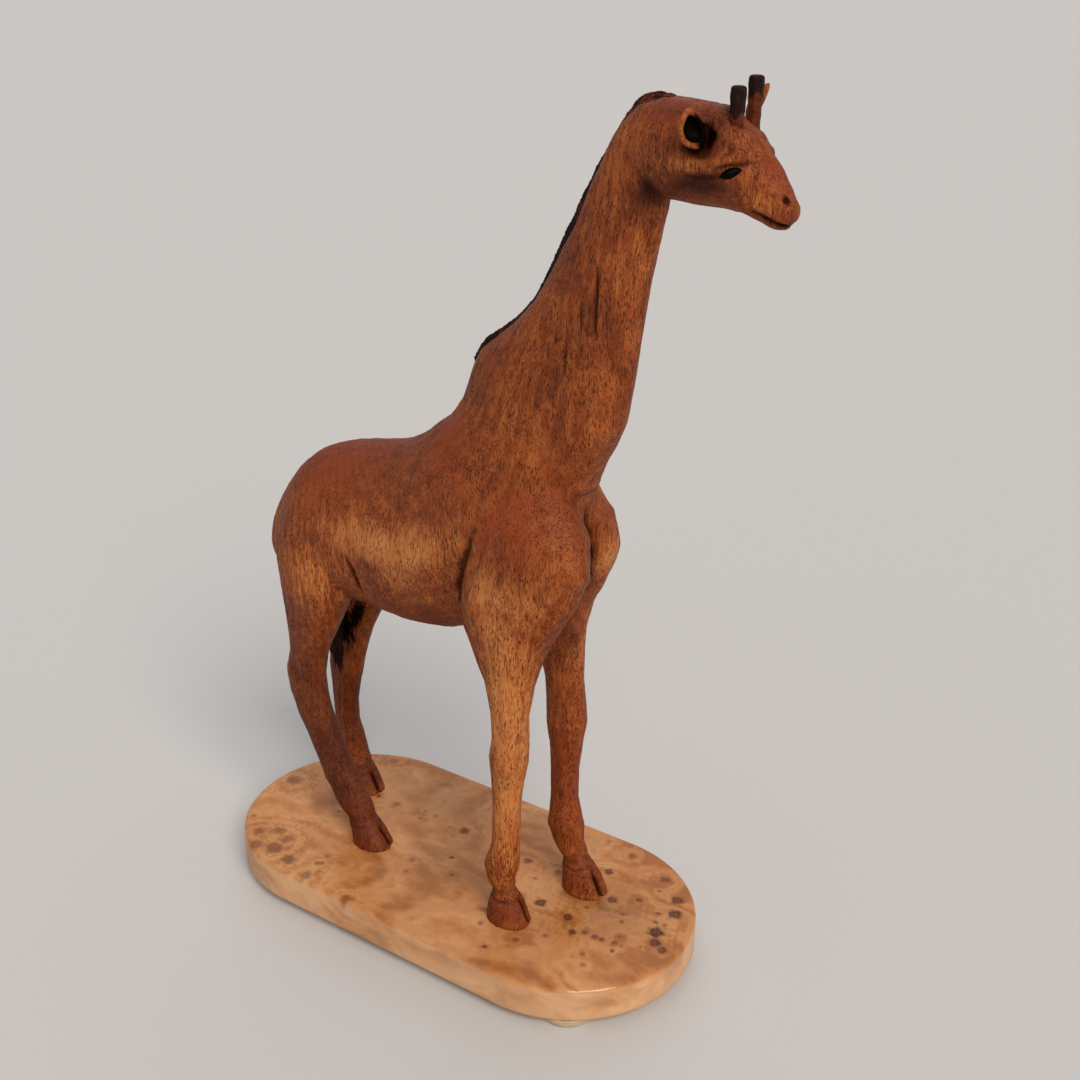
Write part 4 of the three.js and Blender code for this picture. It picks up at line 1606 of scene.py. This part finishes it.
@dataclass
class Ossicones:
    """Two horns whittled from dowel, flat on top and burnt black towards the tip.

    Attributes:
        stance: Where the figure stands.
        length: The height that shows, in millimetres.
        radius: The radius at the top.
        sunk: How far each horn is sunk below its packed top, in millimetres.
        burnt_from: The share of its length at which each horn's char begins.
    """

    stance: Stance
    length: float = 10.0
    radius: float = 2.02
    sunk: tuple[tuple[Side, float], ...] = ((Side.RIGHT, 0.65), (Side.LEFT, -0.3))
    burnt_from: tuple[tuple[Side, float], ...] = ((Side.RIGHT, 0.18), (Side.LEFT, 0.42))

    def build(self, material: Material) -> None:
        """Builds both horns.

        Args:
            material: The scorched wood.
        """
        tall, wide = self.length, self.radius
        heights = np.linspace(-4, tall - 0.7, 30)
        profile = [(wide * (0.84 + 0.16 * float(smoothstep(0, tall * 0.75, z))), z) for z in heights]
        profile += [(wide * 0.96, tall - 0.45), (wide * 0.8, tall - 0.12)]
        profile += [(wide * 0.5, tall + 0.02), (0.25, tall - 0.05)]
        for side in Side:
            node = "ossicone_" + side.name.lower()
            low, high = (self.stance.to_figure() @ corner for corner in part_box(node))
            horn = lathe(node + "_scorched", profile, 32)
            points = points_of(horn.data)
            chance = np.random.default_rng(7 + side.value)
            angle = np.arctan2(points[:, 1], points[:, 0])
            facet = 1 + 0.035 * np.cos(7 * angle + chance.uniform(0, 6)) + 0.03 * np.sin(points[:, 2] * 1.7 + 2 * angle)
            points[:, :2] *= facet[:, None]
            put_points(horn.data, points)
            start = dict(self.burnt_from)[side]
            ragged = points[:, 2] + 0.8 * np.sin(3 * angle + side.value)
            put_mark(horn.data, Mark.SOOT, 0.1 + 0.85 * smoothstep(tall * start, tall * (start + 0.2), ragged))
            middle = (low + high) / 2
            foot = high.z - tall - dict(self.sunk)[side]
            horn.data.transform(Matrix.Translation((middle.x, middle.y, foot)))
            horn.data.transform(self.stance.to_row())
            dressed(horn, material, Slot.BURNT_WOOD, node)


@dataclass
class Eyes:
    """Two almond eyes of ebony, set in under the lids.

    Attributes:
        stance: Where the figure stands.
        size: Length, thickness and height in millimetres.
        place: The right eye's middle, in the figure's millimetres.
        along: The way the right eye's front corner points.
        looks: The way the right eye faces.
    """

    stance: Stance
    size: Triple = (6.1, 2.4, 2.6)
    place: Triple = (99.2, -9.75, 255.2)
    along: Triple = (0.75, 0.57, 0.33)
    looks: Triple = (0.55, -0.8, 0.1)

    def build(self, material: Material) -> None:
        """Builds both eyes.

        Args:
            material: The ebony.
        """
        length, thick, tall = self.size
        for side in Side:
            node = "eye_" + side.name.lower()
            flip = Vector((1.0, -side.value, 1.0))
            shape = opened()
            bmesh.ops.create_uvsphere(shape, u_segments=36, v_segments=20, radius=1.0)
            for vertex in shape.verts:
                x, y, z = vertex.co
                pinch = (1 - abs(x) ** 2.2) ** 0.35 if abs(x) < 1 else 0.0
                vertex.co = (x * length / 2, y * thick / 2, z * tall / 2 * pinch)
            eye = placed(node + "_inlay", closed(shape, bpy.data.meshes.new(node + "_inlay")))
            along = (Vector(self.along) * flip).normalized()
            looks = Vector(self.looks) * flip
            looks = (looks - along * looks.dot(along)).normalized()
            turn = Matrix((along, looks, along.cross(looks))).transposed().to_4x4()
            eye.data.transform(Matrix.Translation(Vector(self.place) * flip) @ turn)
            outward(eye.data)
            eye.data.transform(self.stance.to_row())
            dressed(eye, material, Slot.BLACK_INLAY, node)


@dataclass
class Tail:
    """The tail, carved thin from the dock and ending in a ragged burnt tuft between the thighs.

    Attributes:
        stance: Where the figure stands.
        tuft: The line of the tuft, in the figure's millimetres.
        girth: The tuft's radius where it is fullest.
        strand_length: The length of one strand.
        strand_spacing: How far apart the strands start along the tuft.
        unruly: How far a strand may turn, in radians.
        rounds: How many lines of strands run down the tuft.
    """

    stance: Stance
    tuft: Sequence[Triple] = ((-70.5, 2.8, 83), (-67.2, 3.4, 76), (-65, 3.9, 69), (-64.3, 4.1, 62))
    girth: float = 2.3
    strand_length: float = 8.0
    strand_spacing: float = 3.0
    unruly: float = 0.22
    rounds: int = 9

    def strand(self) -> Piece:
        """One tapered strand along +X, in millimetres."""
        stations = ((0.0, 0.3), (0.3, 0.5), (0.7, 0.36), (1.0, 0.05))
        points = spun([(r, x * self.strand_length) for x, r in stations], 4)
        return tube("tuft_strand", [(x, y, z) for y, z, x in points], 4)

    def rows(self) -> Piece:
        """The lines that the strands start from, all round the tuft."""
        curve = bpy.data.curves.new("tuft_rows", "CURVE")
        curve.dimensions = "3D"
        for turn in range(self.rounds):
            angle = 2 * math.pi * turn / self.rounds
            spline = curve.splines.new("POLY")
            spline.points.add(len(self.tuft) - 1)
            for i, (x, y, z) in enumerate(self.tuft):
                reach = self.girth * math.sin(math.pi * (i + 0.8) / (len(self.tuft) + 0.6))
                spline.points[i].co = (x + reach * math.cos(angle), y + reach * math.sin(angle), z, 1.0)
        return placed("tuft_rows", curve)

    def build(self, material: Material) -> Piece:
        """Builds the tail with its tuft.

        Args:
            material: The seared wood.

        Returns:
            The finished tail.
        """
        core = merged_copy("tail", "tail_core")
        core.data.transform(self.stance.to_figure())
        core = remeshed(core, CORE_CELL)
        Skin(core.data).relax(6)
        Skin(core.data).ripple(2.4, 0.12, seed=9)
        rows = Copies(material, self.strand_spacing, self.unruly, seed=33)
        tail = joined("tail_tufted", [core, rows.along("tuft_strands", self.rows(), self.strand())])
        put_mark(tail.data, Mark.SOOT, 1.0 - 0.85 * smoothstep(84, 98, points_of(tail.data)[:, 2]))
        tail.data.transform(self.stance.to_row())
        return dressed(tail, material, Slot.BURNT_WOOD, "tail")


# ---------------------------------------------------------------- base


@dataclass
class BurlBase:
    """The slab: burl with round ends and an eased edge, its buds' eyes gathered at the two ends.

    Attributes:
        edge: The radius of the eased edges, in millimetres.
        cell: How finely the slab's surface is divided.
        buds: Larger eyes: x and y from the slab's middle, diameter, and darkness.
        flocks: Small eyes: the middle of each flock, its spread and its number.
        clouds: Grey clouds: the middle, half the length and width, and the strength.
        seed: Fixes the small eyes.
    """

    edge: float = 1.5
    cell: float = 0.75
    buds: Sequence[tuple[float, float, float, float]] = (
        (-59.6, -35.5, 6.0, 0.55), (-50, -37.8, 5.0, 0.6), (-38.7, -41, 4.2, 0.5), (-59.6, -28.5, 4.4, 0.45),
        (-71.8, -31, 4.0, 0.4), (-66.4, -37.7, 4.6, 0.4), (-65, -26.4, 4.0, 0.35), (-85, 2.4, 5.5, 0.35),
        (-61.7, 36.7, 3.6, 0.5), (-40.7, 13.3, 2.2, 0.5), (-13.4, -12, 2.6, 0.4), (-8.3, 14, 3.2, 0.85),
        (22, 12.3, 3.2, 0.7), (39.2, -5.3, 3.8, 0.85), (51.4, -6.3, 3.6, 0.8), (49.5, 23.7, 3.4, 0.85),
        (59, 10.6, 3.6, 0.75), (67, 16, 2.4, 0.7), (68.6, 31.3, 3.4, 0.65), (51.8, 36.9, 3.2, 0.55),
        (78, 23.6, 4.2, 0.85), (81, 16.2, 4.6, 0.8), (80.3, 4.2, 5.2, 1.0), (82.7, -0.7, 4.2, 0.85),
        (86.6, -2.7, 3.6, 0.75), (57, -12.2, 2.8, 0.7), (60.4, -9.8, 2.2, 0.6), (64.4, -10, 2.4, 0.7),
        (67, -9.7, 2.0, 0.7), (71.6, -8.6, 2.0, 0.55), (43.4, -26.4, 2.4, 0.6), (50.5, -18.9, 1.8, 0.5),
        (65.6, -19.5, 2.0, 0.5), (34.7, 13.2, 2.6, 0.55), (-40, -33, 2.0, 0.4), (-18, -43, 3.4, 0.4),
    )
    flocks: Path = ((62, 5, 17, 26), (-58, -30, 14, 12), (0, -36, 30, 10), (-10, 20, 34, 8))
    clouds: Path = (
        (-25, 25, 32, 14, 0.7), (-6, -8, 14, 12, 0.6), (58, 6, 20, 12, 0.5), (-5, 8, 30, 9, 0.5), (20, 30, 24, 9, 0.4),
    )
    seed: int = 17

    def outline(self, inset: float, count: int, size: Vector) -> list[tuple[float, float]]:
        """The slab's outline, drawn in by an inset.

        Args:
            inset: How far in from the edge, in millimetres.
            count: How many points it has.
            size: The slab's full size in millimetres.

        Returns:
            The outline's points, from the middle of one long side.
        """
        full = size.y / 2
        radius = full - inset
        straight = size.x - size.y
        half = straight + math.pi * full
        points = []
        for k in range(count):
            at = (k + 0.5) / count * 2 * half
            sign = 1 if at < half else -1
            at -= 0 if at < half else half
            x, y = -straight / 2 + at, -radius
            if at >= straight:
                angle = (at - straight) / full - math.pi / 2
                x, y = straight / 2 + radius * math.cos(angle), radius * math.sin(angle)
            points.append((sign * x, sign * y))
        return points

    def build(self, material: Material) -> Piece:
        """Builds the slab and works out its figure.

        Args:
            material: The varnished burl.

        Returns:
            The finished slab.
        """
        low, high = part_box("burl_base")
        size = (high - low) / MM
        count = int((2 * (size.x - size.y) + math.pi * size.y) / self.cell / 4) * 4
        half, edge, cell = size.z / 2, self.edge, self.cell
        quarter = np.radians((0, 22.5, 45, 67.5, 90))
        eased = [(edge * (1 - math.cos(a)), half - edge * (1 - math.sin(a))) for a in quarter]
        rows = [(inset, -z) for inset, z in reversed(eased)]
        rows += [(0.0, z) for z in np.arange(-half + edge + cell, half - edge - 0.2, cell)]
        rows += eased
        rows += [(inset, half) for inset in np.arange(edge + cell, size.y / 2 - 0.4, cell)]
        slab = tube("burl_slab", [(x, y, z) for inset, z in rows for x, y in self.outline(inset, count, size)], count)
        shape = opened(slab.data)
        bmesh.ops.triangulate(shape, faces=[f for f in shape.faces if len(f.verts) > 4])
        closed(shape, slab.data)
        outward(slab.data)
        self.mark(slab.data)
        slab.data.transform(Matrix.Translation((low + high) / 2) @ Matrix.Scale(MM, 4))
        return dressed(slab, material, Slot.BURL, "burl_base")

    def all_buds(self) -> list[tuple[float, float, float, float]]:
        """The larger eyes and the small ones strewn round them."""
        chance = np.random.default_rng(self.seed)
        buds = [*self.buds]
        for cx, cy, spread, number in self.flocks:
            for _ in range(number):
                x, y = chance.normal((cx, cy), (spread, spread * 0.7))
                buds.append((float(x), float(y), float(chance.uniform(0.9, 1.8)), float(chance.uniform(0.3, 0.75))))
        return buds

    def mark(self, mesh: Mesh) -> None:
        """Stores the eyes, their halos, the swirl of the figure, its grey clouds, the edge, and the upright sides that
        are painted paler as painted light.

        Args:
            mesh: The slab's mesh, in millimetres about its middle.
        """
        px, py, pz = points_of(mesh).T
        eye, halo, grey = np.zeros((3, len(px)))
        swirl = 0.05 * px + 0.16 * py + 0.35 * pz + 2.6 * np.sin(px * 0.055 + 1.0) + 2.0 * np.sin(py * 0.09 - px * 0.03)
        wobble = 1 + 0.12 * np.sin(px * 1.9 + py * 0.7) + 0.1 * np.sin(py * 2.3)
        below = (pz.max() - pz) * 0.55
        for x, y, across, dark in self.all_buds():
            away = np.hypot(np.hypot(px - x, py - y) * wobble, below)
            radius = across / 2
            ring = np.exp(-(((away - radius * 0.66) / (radius * 0.26)) ** 2))
            core = np.exp(-((away / (radius * 0.24)) ** 2))
            sharp = smoothstep(0.45, 0.8, dark)
            eye = np.maximum(eye, dark * np.maximum(ring, core) * (0.3 + 0.7 * sharp))
            halo = np.maximum(halo, (0.5 + 0.4 * dark) * np.exp(-((away / (radius * (1.25 - 0.2 * sharp))) ** 4)))
            swirl += min(4.0, across) * math.copysign(1, math.sin(x)) * np.exp(-((away / (across * 1.6)) ** 2))
        for x, y, long, wide, amount in self.clouds:
            grey = np.maximum(grey, amount * np.exp(-(((px - x) / long) ** 2 + ((py - y) / wide) ** 2)))
        upward = normals_of(mesh)[:, 2]
        marks = {
            Mark.EYE: np.clip(eye, 0, 0.95),
            Mark.HALO: np.clip(halo, 0, 0.85),
            Mark.SWIRL: swirl * 1.6,
            Mark.GREY: grey,
            Mark.EDGE: smoothstep(0.1, 0.35, upward) * (1 - smoothstep(0.88, 0.98, upward)),
            # Painted light: the upright faces are marked to be painted paler.
            Mark.SIDE: 1 - smoothstep(0.1, 0.6, upward),
        }
        for mark, values in marks.items():
            put_mark(mesh, mark, values)


@dataclass
class Fixings:
    """The bumper feet under the slab and the screws that hold the hooves.

    Attributes:
        foot: A foot's section from bottom to top, as shares of its radius and height.
    """

    foot: Path = (
        (0.05, 0.02), (0.6, 0.0), (0.84, 0.0), (0.9, 0.03), (0.94, 0.12), (0.96, 0.3), (0.975, 0.6), (0.985, 0.8),
        (1.0, 0.86), (1.0, 0.95), (0.985, 0.99), (0.95, 1.0), (0.5, 1.0), (0.05, 1.0),
    )

    def feet(self, material: Material) -> None:
        """Builds the four domed bumper feet.

        Args:
            material: The bumpers' rubber.
        """
        for node in sorted(n for n in frame_nodes() if n.startswith("bumper_foot")):
            low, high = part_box(node)
            radius, height = (high.x - low.x) / 2, high.z - low.z
            foot = lathe(node + "_moulded", [(radius * r, height * z) for r, z in self.foot], 64)
            foot.data.transform(Matrix.Translation(((low.x + high.x) / 2, (low.y + high.y) / 2, low.z)))
            dressed(foot, material, Slot.PALE_RUBBER, node)

    def screws(self, material: Material) -> None:
        """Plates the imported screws, which keep their shape.

        Args:
            material: The plated steel.
        """
        for node, screw in frame_nodes().items():
            if node.startswith("leg_screw"):
                screw.data.materials.clear()
                screw.data.materials.append(material)
                log.info("%s: packed shape, plated", node)


# ---------------------------------------------------------------- studio


@dataclass
class Studio:
    """A plain pale floor, soft lights and the camera.

    Attributes:
        eye: Where the camera stands, in millimetres.
        aim: The point it looks at, in millimetres.
        roll: How far it is rolled, in degrees.
        lens: Its focal length on a 36 mm sensor.
        reach: Half the floor's width, in metres.
        air: The colour of the room's own light.
        glow: The strength of the room's own light.
    """

    eye: Triple = (242.28, -332.01, 316.66)
    aim: Triple = (21.73, 0.0, 150.15)
    roll: float = 1.02
    lens: float = 45.308
    reach: float = 30.0
    air: str = "#d2d2d3"
    glow: float = 0.62

    def camera(self) -> None:
        """Sets up the camera and makes it the scene's."""
        lens = bpy.data.cameras.new("camera")
        lens.lens, lens.sensor_width, lens.clip_start, lens.clip_end = self.lens, 36.0, 0.01, 50.0
        camera = placed("camera", lens)
        eye, aim = Vector(self.eye) * MM, Vector(self.aim) * MM
        ahead = (aim - eye).normalized()
        right = ahead.cross(Vector((0, 0, 1))).normalized()
        roll = math.radians(self.roll)
        across = right * math.cos(roll) + right.cross(ahead) * math.sin(roll)
        turn = Matrix((across, across.cross(ahead), -ahead)).transposed()
        camera.matrix_world = Matrix.Translation(eye) @ turn.to_4x4()
        bpy.context.scene.camera = camera

    def light(self, name: str, toward: Triple, spread: float, strength: float, colour: str) -> None:
        """Adds one large far softbox, which lights the floor evenly.

        Args:
            name: The light's name.
            toward: The way from the statue to the light.
            spread: The angle that it fills, in degrees.
            strength: Its power on each square metre that faces it.
            colour: Its colour.
        """
        lamp = bpy.data.lights.new(name, "SUN")
        lamp.angle, lamp.energy, lamp.color = math.radians(spread), strength, linear(colour)[:3]
        placed(name, lamp).matrix_world = Vector(toward).to_track_quat("Z", "Y").to_matrix().to_4x4()

    def build(self, material: Material) -> None:
        """Builds the floor, the lights and the room's own pale light.

        Args:
            material: The floor's paper.
        """
        far = self.reach
        floor = mesh_from("floor", [(-far, -far, 0), (far, -far, 0), (far, far, 0), (-far, far, 0)], [range(4)])
        floor.data.materials.append(material)
        self.light("key", (0.62, -0.42, 0.66), 34.0, 2.3, "#fff4e8")
        self.light("back", (-0.5, 0.6, 0.7), 50.0, 0.5, "#f2f5ff")
        world = bpy.data.worlds.new("room")
        world.use_nodes = True
        bpy.context.scene.world = world
        ground = world.node_tree.nodes["Background"]
        ground.inputs["Color"].default_value = linear(self.air)
        ground.inputs["Strength"].default_value = self.glow
        bpy.context.scene.view_settings.view_transform = "Standard"


def corners(bounds: Sequence[Sequence[float]]) -> list[list[float]]:
    """A box's two corners as plain lists of numbers."""
    return [[float(c) for c in corner] for corner in bounds]


def main() -> None:
    """Builds the statue and the studio in order."""
    logging.basicConfig(level=logging.INFO, format="%(name)s %(message)s")
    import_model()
    stance = Stance()
    studio = Studio()
    studio.camera()
    wood = OiledHardwood().material()
    CarvedFigure(stance).build(wood)
    ManeStrip(stance).build(BurntHardwood("seared_mane", bare=0.15).material())
    Ears(stance).build(wood)
    Ossicones(stance).build(BurntHardwood("scorched_horn", bare=0.35).material())
    Eyes(stance).build(PolishedEbony().material())
    Tail(stance).build(BurntHardwood("seared_tail", bare=0.3).material())
    BurlBase().build(VarnishedBurl().material())
    Fixings().feet(PaleBumperRubber().material())
    Fixings().screws(ZincPlatedSteel().material())
    studio.build(MattePaper().material())
    bpy.context.view_layer.update()


if __name__ == "__main__":
    main()
